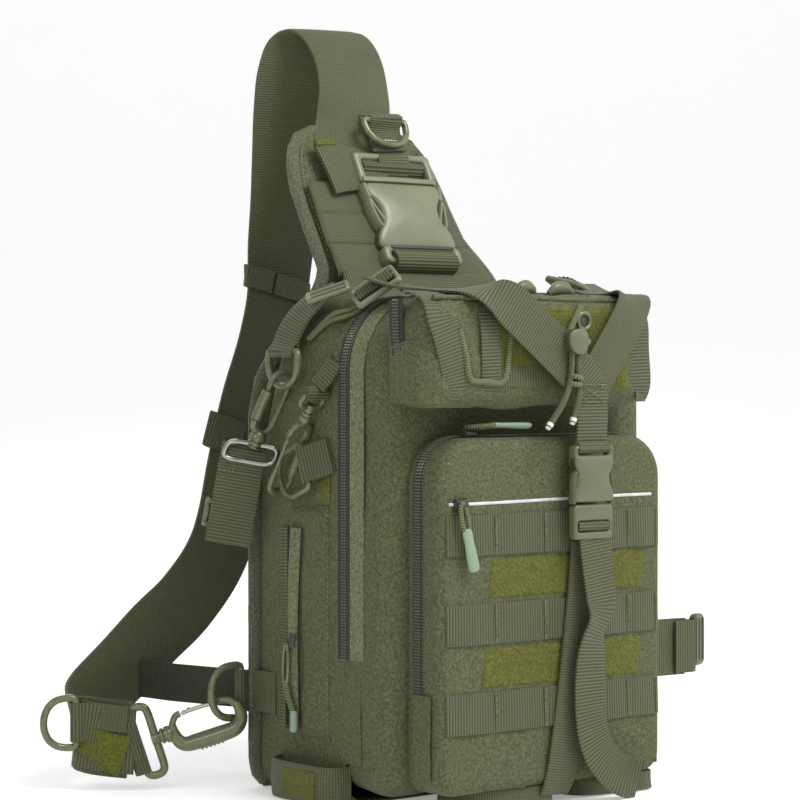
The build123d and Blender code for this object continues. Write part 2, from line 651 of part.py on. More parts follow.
with BuildPart() as lower_strap:
    with BuildSketch(Plane.XZ.offset(89.2)):
        with BuildLine():
            Polyline((5, 16), (20, 132))
        trace(line_width=WEBBING)
    extrude(amount=WEB_THICK)
    with BuildSketch(Plane.XZ.offset(95.5)):
        with BuildLine():
            FilletPolyline((26, 136), (21, 96), (21, 56), (31, 16), radius=(60, 60))
        trace(line_width=WEBBING)
    extrude(amount=WEB_THICK)
lower_strap.part.label = "lower_strap"
export_step(lower_strap.part, "parts/lower_strap.step")

# ---------------------------------------------------------------- zip sliders and pulls
def slider_block(centre, size):
    """Zip slider: a small waisted block."""
    with BuildPart() as slider:
        with Locations(centre):
            Box(*size)
        chamfer(slider.edges().filter_by(Axis.Y), 1.2)
    return slider


slip_slider = slider_block((-78, POCKET_FRONT_Y - 3.6, 191), (8, 3, 9))
slip_slider.part.label = "slip_zip_slider"
export_step(slip_slider.part, "parts/slip_zip_slider.step")
with BuildPart() as slip_pull:
    with BuildSketch(Plane.XZ.offset(92.2)):
        with Locations((-76.5, 166)):
            Rectangle(5, 34, rotation=6)
        with Locations((-74.2, 148)):
            RectangleRounded(11, 18, 4)
    extrude(amount=3)
slip_pull.part.label = "slip_zip_pull"
export_step(slip_pull.part, "parts/slip_zip_pull.step")

with BuildPart() as pocket_slider:
    with Locations((-60, -71, 232.9)):
        Box(11, 6, 4)
    with BuildSketch(Plane.XY.offset(232.4)):
        with Locations((-36, -80)):
            Rectangle(50, 4, rotation=-8)
        with Locations((-8, -84)):
            RectangleRounded(20, 8, 3, rotation=-8)
    extrude(amount=3)
    with Locations((-60, -73, 233.8)):
        Box(4, 8, 1.5)
pocket_slider.part.label = "pocket_zip_slider"
export_step(pocket_slider.part, "parts/pocket_zip_slider.step")

with BuildPart() as main_slider:
    with Locations((-2, -18.8, 318)):
        Box(12, 7, 4)
    with BuildSketch(Plane.XY.offset(320.2)):
        with Locations((12, -26)):
            Rectangle(34, 5, rotation=-20)
    extrude(amount=3)
main_slider.part.label = "main_zip_slider"
export_step(main_slider.part, "parts/main_zip_slider.step")

with BuildPart() as side_slider:
    with Locations((-118.4, 30, 98)):
        Box(3, 7, 10)
    with BuildSketch(Plane.YZ.offset(-121.2)):
        with Locations((30, 84)):
            RectangleRounded(7, 30, 3)
    extrude(amount=-3)
side_slider.part.label = "side_zip_slider"
export_step(side_slider.part, "parts/side_zip_slider.step")

# ---------------------------------------------------------------- elastic cord and cord lock
BUNGEE_R = 2.0
BUNGEE_Y = -92.2
bungee_route = [(-81, 297), (-73, 266), (-46, 266), (-38, 308), (-4, 292), (6, 296), (16, 311)]
with BuildPart() as bungee:
    with BuildSketch(Plane.XZ.offset(-BUNGEE_Y - BUNGEE_R)):
        with BuildLine():
            FilletPolyline(*bungee_route, radius=(6, 6, 5, 5, 5))
        trace(line_width=2 * BUNGEE_R)
    extrude(amount=2 * BUNGEE_R)
bungee.part.label = "bungee_cord"
export_step(bungee.part, "parts/bungee_cord.step")

LOCK_RIGHT_X = 10.5
LOCK_AXIS = (-103.5, 290)
BUTTON_RADIUS = 3.0
lock_plane = Plane.XZ.offset(98)
with BuildPart() as cord_lock:
    with BuildSketch(lock_plane):
        with Locations((2, 290)):
            RectangleRounded(17, 16, 4)
    extrude(amount=11)
    with BuildSketch(Plane.XY.offset(270)):
        with Locations((2, -103.5)):
            Rectangle(9.5, 5)
    extrude(amount=50, mode=Mode.SUBTRACT)
    with BuildSketch(Plane.YZ.offset(LOCK_RIGHT_X + 0.1)):
        with Locations(LOCK_AXIS):
            Circle(BUTTON_RADIUS + 0.06)
    extrude(amount=-3.4, mode=Mode.SUBTRACT)
cord_lock.part.label = "cord_lock"
export_step(cord_lock.part, "parts/cord_lock.step")
with BuildPart() as lock_button:
    with BuildSketch(Plane.YZ.offset(LOCK_RIGHT_X - 0.3)):
        with Locations(LOCK_AXIS):
            Circle(BUTTON_RADIUS)
    extrude(amount=3.4)
lock_button.part.label = "cord_lock_button"
export_step(lock_button.part, "parts/cord_lock_button.step")

# free tails of the elastic cord below its lock, each a limp 4 mm cord
TAIL_ROUTES = (
    [(-0.2, -103.5, 297), (-0.2, -103.5, 272), (-3.2, -103.6, 260), (-8.6, -103.4, 250),
     (-14.2, -103.0, 243), (-19.2, -102.5, 236.8)],
    [(4.2, -103.5, 297), (4.2, -103.5, 272), (5.0, -103.9, 260.5), (3.6, -104.2, 249.5),
     (-0.6, -104.0, 239.5)],
)


def corner_radii(route):
    """Largest tangent arc at each corner: 0.45 of the shorter run over tan(half the turn)."""
    points = [Vector(*point) for point in route]
    radii = []
    for before, corner, after in zip(points, points[1:], points[2:]):
        turn = (corner - before).get_angle(after - corner)
        shorter = min((corner - before).length, (after - corner).length)
        radii.append(0.45 * shorter / tan(radians(turn / 2)))
    return radii


with BuildPart() as bungee_tails:
    for route in TAIL_ROUTES:
        radii = corner_radii(route)
        print("tail radii", [round(radius, 1) for radius in radii])
        with BuildLine() as tail_line:
            FilletPolyline(*route, radius=radii)
        with BuildSketch(Plane(origin=route[0], z_dir=Vector(*route[1]) - Vector(*route[0]))):
            Circle(BUNGEE_R)
        sweep(path=tail_line.wire())
        print("tail length", round(tail_line.wire().length, 1), "mm")
print("tails volume", round(bungee_tails.part.volume, 1))
bungee_tails.part.label = "bungee_tails"
export_step(bungee_tails.part, "parts/bungee_tails.step")
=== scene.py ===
"""Looks of the sling bag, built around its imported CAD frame. Points are in millimetres, meshes in metres."""

from math import copysign, cos, exp, hypot, pi, radians, sin, tan, tau

import bmesh
import bpy
from mathutils import Matrix, Vector, noise


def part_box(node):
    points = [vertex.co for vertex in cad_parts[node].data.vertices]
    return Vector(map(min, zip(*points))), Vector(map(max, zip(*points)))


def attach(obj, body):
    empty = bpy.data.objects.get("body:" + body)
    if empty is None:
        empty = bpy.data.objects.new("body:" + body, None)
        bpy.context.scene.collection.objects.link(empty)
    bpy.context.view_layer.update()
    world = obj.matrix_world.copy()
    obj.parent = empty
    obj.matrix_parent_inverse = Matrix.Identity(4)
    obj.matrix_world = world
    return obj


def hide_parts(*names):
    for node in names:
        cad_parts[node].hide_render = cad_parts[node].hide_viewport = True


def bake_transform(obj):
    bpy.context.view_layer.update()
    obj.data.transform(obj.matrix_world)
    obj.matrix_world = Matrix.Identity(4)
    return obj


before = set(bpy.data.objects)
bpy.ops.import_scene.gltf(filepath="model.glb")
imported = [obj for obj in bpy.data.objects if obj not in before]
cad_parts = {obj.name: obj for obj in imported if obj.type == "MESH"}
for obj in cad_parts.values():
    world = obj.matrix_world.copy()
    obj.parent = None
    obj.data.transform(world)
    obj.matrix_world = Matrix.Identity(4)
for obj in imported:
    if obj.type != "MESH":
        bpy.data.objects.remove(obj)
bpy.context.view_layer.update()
MM = 0.001
V = Vector
WAVE_PERIOD = 0.314159  # metres, of a wave texture at scale 1
NOISE_LUMP = 0.7  # metres, about the size of a noise texture's lumps at scale 1
SHARP_EDGE = radians(50)

# ---------------------------------------------------------------- camera
CAMERA_AT = V((-1.039, -1.2595, 0.2734))
CAMERA_AZIMUTH = -38.0
CAMERA_PITCH = -0.73
cam_data = bpy.data.cameras.new("camera")
cam_data.lens = 112.5
cam_data.sensor_width = 36.0
cam_data.clip_end = 50.0
camera = bpy.data.objects.new("camera", cam_data)
bpy.context.scene.collection.objects.link(camera)
camera.location = CAMERA_AT
camera.rotation_euler = (radians(90 + CAMERA_PITCH), 0, radians(CAMERA_AZIMUTH))
bpy.context.scene.camera = camera


# ---------------------------------------------------------------- node helpers
class Paint:
    """One node material: a Principled shader, with short calls for the nodes that feed it."""

    def __init__(self, name, roughness=0.8, metallic=0.0, sheen=0.0, coat=0.0):
        self.material = bpy.data.materials.new(name)
        self.material.use_nodes = True
        self.tree = self.material.node_tree
        self.shader = self.tree.nodes["Principled BSDF"]
        self.shader.inputs["Roughness"].default_value = roughness
        self.shader.inputs["Metallic"].default_value = metallic
        self.shader.inputs["Sheen Weight"].default_value = sheen
        self.shader.inputs["Sheen Roughness"].default_value = 0.5
        self.shader.inputs["Coat Weight"].default_value = coat
        self.heights = []

    def node(self, kind, **values):
        """New node with these settings."""
        made = self.tree.nodes.new(kind)
        for key, value in values.items():
            setattr(made, key, value)
        return made

    def join(self, source, target):
        self.tree.links.new(source, target)

    def place(self, kind="UV", turn=0.0, scale=(1, 1, 1)):
        """Texture coordinates in metres, turned in their plane by `turn` degrees."""
        source = self.node("ShaderNodeTexCoord")
        mapping = self.node("ShaderNodeMapping")
        mapping.inputs["Rotation"].default_value = (0, 0, radians(turn))
        mapping.inputs["Scale"].default_value = scale
        self.join(source.outputs[kind], mapping.inputs["Vector"])
        return mapping.outputs["Vector"]

    def wave(self, at, period, direction="X", distortion=0.0):
        """Bands of that period, in metres."""
        bands = self.node("ShaderNodeTexWave", bands_direction=direction)
        bands.inputs["Scale"].default_value = WAVE_PERIOD / period
        bands.inputs["Distortion"].default_value = distortion
        bands.inputs["Detail"].default_value = 0.0
        self.join(at, bands.inputs["Vector"])
        return bands.outputs["Fac"]

    def noise(self, at, size, detail=3.0, roughness=0.55):
        """Noise whose lumps are about `size` metres across."""
        cloud = self.node("ShaderNodeTexNoise")
        cloud.inputs["Scale"].default_value = NOISE_LUMP / size
        cloud.inputs["Detail"].default_value = detail
        cloud.inputs["Roughness"].default_value = roughness
        self.join(at, cloud.inputs["Vector"])
        return cloud.outputs["Fac"]

    def cells(self, at, size, randomness):
        """Distance from the middles of cells about `size` metres across."""
        voronoi = self.node("ShaderNodeTexVoronoi")
        voronoi.inputs["Scale"].default_value = 1 / size
        voronoi.inputs["Randomness"].default_value = randomness
        self.join(at, voronoi.inputs["Vector"])
        return voronoi.outputs["Distance"]

    def math(self, operation, a, b=0.5):
        """Math node on two sockets or numbers."""
        made = self.node("ShaderNodeMath", operation=operation)
        for socket, value in zip(made.inputs, (a, b)):
            if isinstance(value, (int, float)):
                socket.default_value = value
            else:
                self.join(value, socket)
        return made.outputs[0]

    def span(self, value, low, high, new_low=0.0, new_high=1.0):
        """Maps low..high to new_low..new_high, clamped."""
        made = self.node("ShaderNodeMapRange")
        for socket, number in zip(list(made.inputs)[1:5], (low, high, new_low, new_high)):
            socket.default_value = number
        self.join(value, made.inputs[0])
        return made.outputs[0]

    def mix(self, factor, a, b):
        """Colour between two colours or sockets, by a factor."""
        made = self.node("ShaderNodeMix", data_type="RGBA")
        for socket, value in ((made.inputs[0], factor), (made.inputs[6], a), (made.inputs[7], b)):
            if isinstance(value, (int, float)):
                socket.default_value = value
            elif isinstance(value, tuple):
                socket.default_value = (*value, 1.0)
            else:
                self.join(value, socket)
        return made.outputs[2]

    def colour(self, socket):
        self.join(socket, self.shader.inputs["Base Color"])

    def rough(self, socket):
        self.join(socket, self.shader.inputs["Roughness"])

    def bump(self, height, distance, strength=1.0):
        """Adds one height map; calls stack on each other."""
        made = self.node("ShaderNodeBump")
        made.inputs["Distance"].default_value = distance
        made.inputs["Strength"].default_value = strength
        self.join(height, made.inputs["Height"])
        if self.heights:
            self.join(self.heights[-1], made.inputs["Normal"])
        self.heights.append(made.outputs["Normal"])
        self.join(made.outputs["Normal"], self.shader.inputs["Normal"])


def shade(colour, factor):
    """A colour made darker or lighter."""
    return tuple(c * factor for c in colour)


def cloth(name, colour, period=0.00125, turn=45.0):
    """Coated nylon cloth: twill lines, crossing threads, flecks of worn coating and slow colour drift."""
    paint = Paint(name, roughness=0.82, sheen=0.02)
    at = paint.place("UV", turn)
    twill = paint.wave(at, period, distortion=0.5)
    cross = paint.wave(at, period * 0.62, "Y")
    weave = paint.math("MULTIPLY", twill, paint.span(cross, 0, 1, 0.5, 1.0))
    drift = paint.noise(paint.place("Object"), 0.045, 4)
    speckle = paint.noise(paint.place("Object"), 0.00125, 3, 0.75)
    dark = paint.mix(drift, shade(colour, 0.5), shade(colour, 0.78))
    light = paint.mix(drift, shade(colour, 0.95), shade(colour, 1.35))
    flecked = paint.mix(paint.span(speckle, 0.38, 0.64), shade(colour, 0.25), shade(colour, 1.95))
    paint.colour(paint.mix(0.5, paint.mix(weave, dark, light), flecked))
    paint.rough(paint.span(drift, 0.3, 0.7, 0.74, 0.9))
    paint.bump(weave, 0.00018, 0.5)
    paint.bump(drift, 0.0012, 0.35)
    return paint.material


def webbing(name, colour, rib=0.0021, thread=0.0013, along="Y", contrast=0.62):
    """Woven tape: ribs across its length and finer threads along it."""
    paint = Paint(name, roughness=0.72, sheen=0.08)
    at = paint.place("UV")
    other = "X" if along == "Y" else "Y"
    ribs = paint.wave(at, rib, along, 0.15)
    threads = paint.wave(at, thread, other)
    weave = paint.math("MULTIPLY", ribs, paint.span(threads, 0, 1, 0.6, 1.0))
    drift = paint.noise(paint.place("Object"), 0.03, 3)
    light = paint.mix(drift, shade(colour, 1.2), shade(colour, 1.6))
    paint.colour(paint.mix(paint.span(weave, 0, 0.9), shade(colour, 1 - contrast), light))
    paint.bump(weave, 0.0005, 0.85)
    return paint.material


def loop_tape(name, colour):
    """Fuzzy loop tape: short tangled pile with a frayed light nap."""
    paint = Paint(name, roughness=0.95, sheen=0.06)
    at = paint.place("Object")
    tangle = paint.noise(at, 0.0011, 4, 0.7)
    clump = paint.noise(at, 0.006, 3)
    pile = paint.mix(paint.span(tangle, 0.36, 0.66), shade(colour, 0.42), shade(colour, 1.5))
    paint.colour(paint.mix(paint.span(clump, 0.3, 0.7, 0.0, 0.45), pile, shade(colour, 0.8)))
    paint.bump(tangle, 0.0012, 1.0)
    return paint.material


def moulded(name, colour, roughness=0.42):
    """Injection-moulded plastic: spark-eroded grain, faint scuffs and uneven gloss."""
    paint = Paint(name, roughness=roughness, coat=0.05)
    at = paint.place("Object")
    fine = paint.noise(at, 0.00035, 3)
    slow = paint.noise(at, 0.012, 4)
    scuff = paint.noise(paint.place("Object", 30, (1, 6, 1)), 0.004, 5, 0.7)
    body = paint.mix(slow, shade(colour, 0.9), shade(colour, 1.1))
    paint.colour(paint.mix(paint.span(scuff, 0.62, 0.74, 0, 0.35), body,
            tuple(c * 1.25 + 0.02 for c in colour)))
    paint.rough(paint.span(slow, 0.3, 0.7, roughness - 0.06, roughness + 0.1))
    paint.bump(fine, 0.00008, 0.5)
    return paint.material


def metal(name, colour, roughness, metallic=1.0):
    """Plated or painted wire: fine draw marks and small changes of gloss."""
    paint = Paint(name, roughness=roughness, metallic=metallic)
    at = paint.place("Object")
    slow = paint.noise(at, 0.004, 4)
    paint.colour(paint.mix(paint.span(slow, 0.35, 0.7), shade(colour, 0.85), shade(colour, 1.1)))
    paint.rough(paint.span(slow, 0.3, 0.7, roughness * 0.8, roughness * 1.3))
    paint.bump(paint.noise(at, 0.0006, 2), 0.00004, 0.4)
    return paint.material


def fuzzy_edge(name, colour):
    """Bound edge tape: a nappy herringbone, with painted highlights where its threads catch light."""
    paint = Paint(name, roughness=0.92, sheen=0.2)
    at = paint.place("UV", 35)
    ribs = paint.wave(at, 0.0016, "X", 1.2)
    nap = paint.noise(paint.place("Object"), 0.0012, 4, 0.7)
    weave = paint.math("MULTIPLY", paint.span(ribs, 0, 1, 0.4, 1), paint.span(nap, 0.3, 0.65))
    paint.colour(paint.mix(weave, shade(colour, 0.4), shade(colour, 1.9)))
    paint.bump(weave, 0.0009, 0.9)
    return paint.material


def air_mesh(name, colour):
    """Spacer mesh of the back pad: rows of small holes in a knitted face, with painted shade in the holes."""
    paint = Paint(name, roughness=0.9, sheen=0.1)
    at = paint.place("UV")
    holes = paint.cells(at, 0.0026, randomness=0.12)
    rim = paint.span(holes, 0.25, 0.55)
    # the holes are painted dark as shade
    paint.colour(paint.mix(rim, shade(colour, 0.25), shade(colour, 1.15)))
    paint.bump(rim, 0.0012, 0.9)
    return paint.material


OLIVE = (0.072, 0.081, 0.031)
WEB = (0.072, 0.079, 0.03)
fabric = cloth("olive_twill", OLIVE)
fabric_dark = cloth("olive_lining", shade(OLIVE, 0.62), turn=-45)
fabric_light = cloth("olive_zip_tape", (0.125, 0.142, 0.066), period=0.0021, turn=60)
web = webbing("olive_webbing", WEB)
web_side = webbing("olive_webbing_rows", shade(WEB, 0.98), rib=0.0022, thread=0.0013, along="X")
web_smooth = webbing("strap_webbing", shade(WEB, 0.9), rib=0.0017, thread=0.0028, contrast=0.4)
binding = fuzzy_edge("edge_binding", (0.085, 0.097, 0.05))
# near-black webbing: painted shade for the stabiliser band, which lies in shadow
web_painted_shade = webbing("webbing_painted_shade", (0.022, 0.027, 0.011), 0.0017, 0.0028, contrast=0.3)
loop = loop_tape("loop_tape", (0.098, 0.103, 0.006))
plastic = moulded("olive_plastic", (0.1, 0.113, 0.06))
plastic_pale = moulded("buckle_plastic", (0.15, 0.165, 0.095), 0.38)
rubber_pull = moulded("pull_tip", (0.21, 0.29, 0.2), 0.45)
# near-black zip coil colour; also used for painted shade in the large buckle's slot and the pouch grommet's
# hole
coil = moulded("zip_coil_and_painted_shade", (0.03, 0.031, 0.024), 0.35)
teeth = moulded("zip_teeth", (0.105, 0.11, 0.075), 0.35)
coil_tape = webbing("zip_tape", (0.014, 0.015, 0.011), rib=0.0012, thread=0.0012, contrast=0.5)
painted = metal("painted_wire", (0.135, 0.147, 0.078), 0.28, 0.35)
steel = metal("nickel_wire", (0.34, 0.34, 0.3), 0.26)
elastic = webbing("elastic_cord", (0.115, 0.145, 0.05), rib=0.0016, thread=0.0014, contrast=0.6)
thread = cloth("sewing_thread", (0.15, 0.165, 0.09), period=0.0006)
thread_dark = cloth("dark_thread", (0.03, 0.033, 0.018), period=0.0006)
reflective = metal("reflective_piping", (0.6, 0.62, 0.62), 0.5, 0.25)
white_tip = moulded("melted_cord_tip", (0.65, 0.66, 0.6), 0.5)


# ---------------------------------------------------------------- mesh helpers
class Shape:
    """Vertices in millimetres, faces, and a texture coordinate in metres at each face corner."""

    def __init__(self):
        self.points, self.faces, self.corners = [], [], []

    def face(self, indices, corners=None):
        self.faces.append(tuple(indices))
        self.corners.append(corners or [(self.points[i][0] * MM, self.points[i][2] * MM) for i in indices])

    def grid(self, rows, coords, wrap=False, flip=False):
        """Quads between rows of points; coords has one extra column where the rows wrap round."""
        base, count = len(self.points), len(rows[0])
        for row in rows:
            self.points.extend(V(p) for p in row)
        for i in range(len(rows) - 1):
            for j in range(count if wrap else count - 1):
                k = (j + 1) % count
                a, b = base + i * count, base + (i + 1) * count
                ring = [a + j, a + k, b + k, b + j]
                uv = [coords[i][j], coords[i][j + 1], coords[i + 1][j + 1], coords[i + 1][j]]
                if flip:
                    ring.reverse()
                    uv.reverse()
                self.face(ring, uv)
        return base

    def ends(self, base, rows, count):
        """Closes both ends of a grid that wraps round."""
        last = base + (rows - 1) * count
        self.face(list(range(base, base + count))[::-1])
        self.face(list(range(last, last + count)))

    def object(self, name, material, body=None, slot=None, replaces=(), weld=0.0):
        """Makes the shape one piece; points closer than `weld` mm are joined."""
        mesh = bpy.data.meshes.new(name)
        mesh.from_pydata([tuple(p * MM) for p in self.points], [], self.faces)
        layer = mesh.uv_layers.new(name="UVMap")
        layer.data.foreach_set("uv", [c for corner in self.corners for uv in corner for c in uv])
        if weld:
            bm = bmesh.new()
            bm.from_mesh(mesh)
            bmesh.ops.remove_doubles(bm, verts=bm.verts, dist=weld * MM)
            bm.to_mesh(mesh)
            bm.free()
        return put(mesh, name, material, body, replaces)


def thicken(piece, thick):
    """Gives a sheet its thickness in mm, on its inner side."""
    piece.modifiers.new("thickness", "SOLIDIFY").thickness = thick * MM


def put(mesh, name, material, body, replaces=()):
    """A mesh as one piece that rides on a CAD body."""
    mesh.materials.clear()
    mesh.materials.append(material)
    mesh.shade_smooth()
    piece = bpy.data.objects.new(name, mesh)
    bpy.context.scene.collection.objects.link(piece)
    mesh.set_sharp_from_angle(angle=SHARP_EDGE)
    if body:
        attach(piece, body)
    if replaces:
        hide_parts(*([replaces] if isinstance(replaces, str) else replaces))
    return piece


def sheet_coords(rows, axis="x"):
    """Texture coordinates of rows of points that lie nearly flat in `axis` and z."""
    return [[(getattr(p, axis) * MM, p.z * MM) for p in row] for row in rows]


def lerp(a, b, t):
    return a + (b - a) * t


def smooth_path(points, step=3.0, closed=False):
    """Catmull-Rom curve through rows of numbers of any width, in steps of about `step` mm."""
    rows = [list(p) for p in points]
    count = len(rows)
    out = []
    for i in range(count if closed else count - 1):
        if closed:
            quad = [rows[(i + k) % count] for k in (-1, 0, 1, 2)]
        else:
            quad = [rows[max(0, min(count - 1, i + k))] for k in (-1, 0, 1, 2)]
        gap = V(quad[2][:3]) - V(quad[1][:3])
        cuts = max(1, round(gap.length / step))
        for n in range(cuts):
            t = n / cuts
            out.append([0.5 * (2 * b + (c - a) * t + (2 * a - 5 * b + 4 * c - d) * t * t
                        + (3 * b - a - 3 * c + d) * t ** 3) for a, b, c, d in zip(*quad)])
    if not closed:
        out.append(rows[-1])
    return out


def tangents(path, closed=False):
    """Direction of a path at each of its rows."""
    count = len(path)
    out = []
    for i in range(count):
        ahead = path[(i + 1) % count] if closed else path[min(i + 1, count - 1)]
        behind = path[i - 1] if closed or i else path[0]
        out.append((V(ahead[:3]) - V(behind[:3])).normalized())
    return out


def wobble(point, size, strength, seed=0.0, stretch=(1, 1, 1)):
    """Smooth noise with lumps `size` mm across, from -strength to strength."""
    at = V((point[0] * stretch[0], point[1] * stretch[1], point[2] * stretch[2])) / size
    return noise.noise(at + V((seed, seed * 1.7, seed * 2.3))) * strength


def tube(shape, path, radius, sides=10, closed=False, flat=1.0, normal=None):
    """Round bar along a path; `flat` squeezes its section, `radius` may be a function of 0..1."""
    path = [V(p[:3]) for p in path]
    along = tangents(path, closed)
    start = normal or (V((0, 0, 1)) if abs(along[0].z) < 0.9 else V((1, 0, 0)))
    side = along[0].cross(start).normalized()
    rows, coords, length = [], [], 0.0
    total = sum((b - a).length for a, b in zip(path, path[1:])) or 1.0
    for i, (p, t) in enumerate(zip(path, along)):
        side = (side - t * side.dot(t)).normalized()
        up = t.cross(side)
        if i:
            length += (p - path[i - 1]).length
        r = radius(length / total) if callable(radius) else radius
        rows.append([p + side * (r * cos(tau * k / sides)) + up * (r * flat * sin(tau * k / sides))
                for k in range(sides)])
        coords.append([(r * tau * k / sides * MM, length * MM) for k in range(sides + 1)])
    if closed:
        rows.append(rows[0])
        coords.append([(u, (length + (path[0] - path[-1]).length) * MM) for u, _ in coords[0]])
    base = shape.grid(rows, coords, wrap=True)
    if not closed:
        shape.ends(base, len(rows), sides)
    return shape


SECTION = ((-0.5, 0.0), (-0.5, 0.35), (-0.44, 0.5), (-0.2, 0.5), (0.0, 0.5), (0.2, 0.5), (0.44, 0.5),
    (0.5, 0.35), (0.5, 0.0), (0.5, -0.35), (0.44, -0.5), (0.2, -0.5), (0.0, -0.5), (-0.2, -0.5),
    (-0.44, -0.5), (-0.5, -0.35))


def ribbon(shape, path, width, thick, crown=0.0, square=None):
    """Flat strap: each path row is a point and the direction across the strap there, made square to
    the strap's run, or as far as square(point) says, from 0 to 1."""
    along = tangents(path)
    rows, coords, length = [], [], 0.0
    for i, (row, t) in enumerate(zip(path, along)):
        p, side = V(row[:3]), V(row[3:6])
        w = width(i / (len(path) - 1)) if callable(width) else width
        side = (side - t * side.dot(t) * (square(p) if square else 1.0)).normalized()
        up = side.cross(t).normalized()
        if i:
            length += (p - V(path[i - 1][:3])).length
        edge = min(1.0, 1.4 * thick / w)
        ring = []
        for a, b in SECTION:
            x = a if abs(a) < 0.45 else copysign(0.5 - (0.5 - abs(a)) * edge * 6, a)
            ring.append(p + side * (x * w) + up * (b * thick + crown * (0.25 - a * a) * 4))
        rows.append(ring)
        coords.append([(a * w * MM, length * MM) for a, b in SECTION]
            + [(SECTION[0][0] * w * MM, length * MM)])
    shape.ends(shape.grid(rows, coords, wrap=True), len(rows), len(SECTION))
    return shape


def strap(name, points, width, thick, material, body, slot="webbing", replaces=(), step=3.0, crown=0.0,
        flutter=0.0, square=None):
    """Strap through points given as (x, y, z, side x, side y, side z)."""
    path = smooth_path(points, step)
    if flutter:
        along = tangents(path)
        for row, t in zip(path, along):
            up = V(row[3:6]).cross(t).normalized()
            shift = wobble(row, 28, flutter, 3.1)
            row[0:3] = list(V(row[:3]) + up * shift)
    return ribbon(Shape(), path, width, thick, crown, square).object(name, material, body, slot, replaces)


def stitches(shape, path, facing, pitch=3.2, length=2.2, radius=0.28):
    """Row of sewn stitches lying on a surface; `facing` is the way the surface looks, or one per point."""
    fine = smooth_path(path, 1.0)
    walked, due = 0.0, 0.5
    for i in range(1, len(fine)):
        a, b = V(fine[i - 1][:3]), V(fine[i][:3])
        gap = (b - a).length
        while walked + gap >= due and gap > 1e-6:
            p = a.lerp(b, (due - walked) / gap)
            d = (b - a).normalized()
            out = V(facing) if not callable(facing) else facing(p)
            ends = [p - d * length / 2, p - d * length * 0.3 + out * radius,
                p + d * length * 0.3 + out * radius, p + d * length / 2]
            tube(shape, ends, lambda t: radius * (0.55 + 0.9 * sin(pi * min(1, max(0, t)))), 5)
            due += pitch
        walked += gap
    return shape


def plate(name, loops, origin, x_dir, z_dir, depth, bevel, material, body=None, replaces=()):
    """Moulded plate: 2-D outlines (the first is the outside) with rounded rims, in the plane given."""
    curve = bpy.data.curves.new(name, "CURVE")
    curve.dimensions, curve.fill_mode = "2D", "BOTH"
    curve.extrude = max(1e-6, (depth / 2 - bevel) * MM)
    curve.bevel_depth, curve.bevel_resolution, curve.offset = bevel * MM, 2, -bevel * MM
    for outline in loops:
        spline = curve.splines.new("POLY")
        spline.points.add(len(outline) - 1)
        for point, (x, y) in zip(spline.points, outline):
            point.co = (x * MM, y * MM, 0, 1)
        spline.use_cyclic_u = True
    holder = bpy.data.objects.new(name + "_outline", curve)
    bpy.context.scene.collection.objects.link(holder)
    bpy.context.view_layer.update()
    mesh = bpy.data.meshes.new_from_object(holder.evaluated_get(bpy.context.evaluated_depsgraph_get()))
    bpy.data.objects.remove(holder)
    bpy.data.curves.remove(curve)
    x, z = V(x_dir).normalized(), V(z_dir).normalized()
    z = (z - x * z.dot(x)).normalized()
    y = z.cross(x)
    turn = Matrix((x, y, z)).transposed().to_4x4()
    mesh.transform(Matrix.Translation(V(origin) * MM) @ turn)
    bm = bmesh.new()
    bm.from_mesh(mesh)
    bmesh.ops.remove_doubles(bm, verts=bm.verts, dist=2e-6)
    bmesh.ops.recalc_face_normals(bm, faces=bm.faces)
    bm.to_mesh(mesh)
    bm.free()
    mesh.name = name
    return put(mesh, name, material, body, replaces)


ARC_STEPS = 5


def arc(cx, cy, r, start, end):
    """Points of an arc in a plane, angles in degrees."""
    return [(cx + r * cos(radians(start + (end - start) * k / ARC_STEPS)),
            cy + r * sin(radians(start + (end - start) * k / ARC_STEPS))) for k in range(ARC_STEPS + 1)]


def round_rect(cx, cy, w, h, r):
    """Rounded rectangle, anticlockwise."""
    x, y = w / 2 - r, h / 2 - r
    corners = ((cx + x, cy - y, -90), (cx + x, cy + y, 0), (cx - x, cy + y, 90), (cx - x, cy - y, 180))
    return [point for a, b, start in corners for point in arc(a, b, r, start, start + 90)]


# ---------------------------------------------------------------- free cords: the elastic cord's two tails
ELASTIC_R = 2.0
TAIL_ROUTES = {"left": [(-0.2, -103.5, 297), (-0.2, -103.5, 272), (-3.2, -103.6, 260), (-8.6, -103.4, 250),
        (-14.2, -103.0, 243), (-19.2, -102.5, 236.8)], "right": [(4.2, -103.5, 297), (4.2, -103.5, 272),
        (5.0, -103.9, 260.5), (3.6, -104.2, 249.5), (-0.6, -104.0, 239.5)],}


def curve_piece(name, route, diameter, material, body):
    """Round cord as one open NURBS spline through its route's control points."""
    curve = bpy.data.curves.new(name, "CURVE")
    curve.dimensions = "3D"
    curve.bevel_depth, curve.bevel_resolution = diameter / 2, 5
    curve.use_fill_caps = True
    spline = curve.splines.new("NURBS")
    spline.points.add(len(route) - 1)
    for point, place in zip(spline.points, route):
        point.co = (*(c * MM for c in place), 1)
    spline.order_u = 3
    spline.use_endpoint_u = True
    spline.resolution_u = 10
    curve.materials.append(material)
    piece = bpy.data.objects.new(name, curve)
    bpy.context.scene.collection.objects.link(piece)
    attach(piece, body)
    return piece


for side, route in TAIL_ROUTES.items():
    tail = curve_piece("elastic_tail_" + side, route, 2 * ELASTIC_R * MM, elastic, "main_flap")
    end, before = V(route[-1]), V(route[-2])
    lead = (end - before).normalized()
    tip = tube(Shape(), [end - lead * 3.2, end - lead * 1.2, end + lead * 0.6, end + lead * 1.0],
        lambda t: ELASTIC_R * (1.12 - 0.35 * t * t), 12).object("elastic_tip_" + side, white_tip, "main_flap",
        "elastic")
    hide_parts("bungee_tails")

# ---------------------------------------------------------------- soft shells
SIDE_N, CORNER_N, TOP_N, FOOT_N = 34, 10, 34, 6


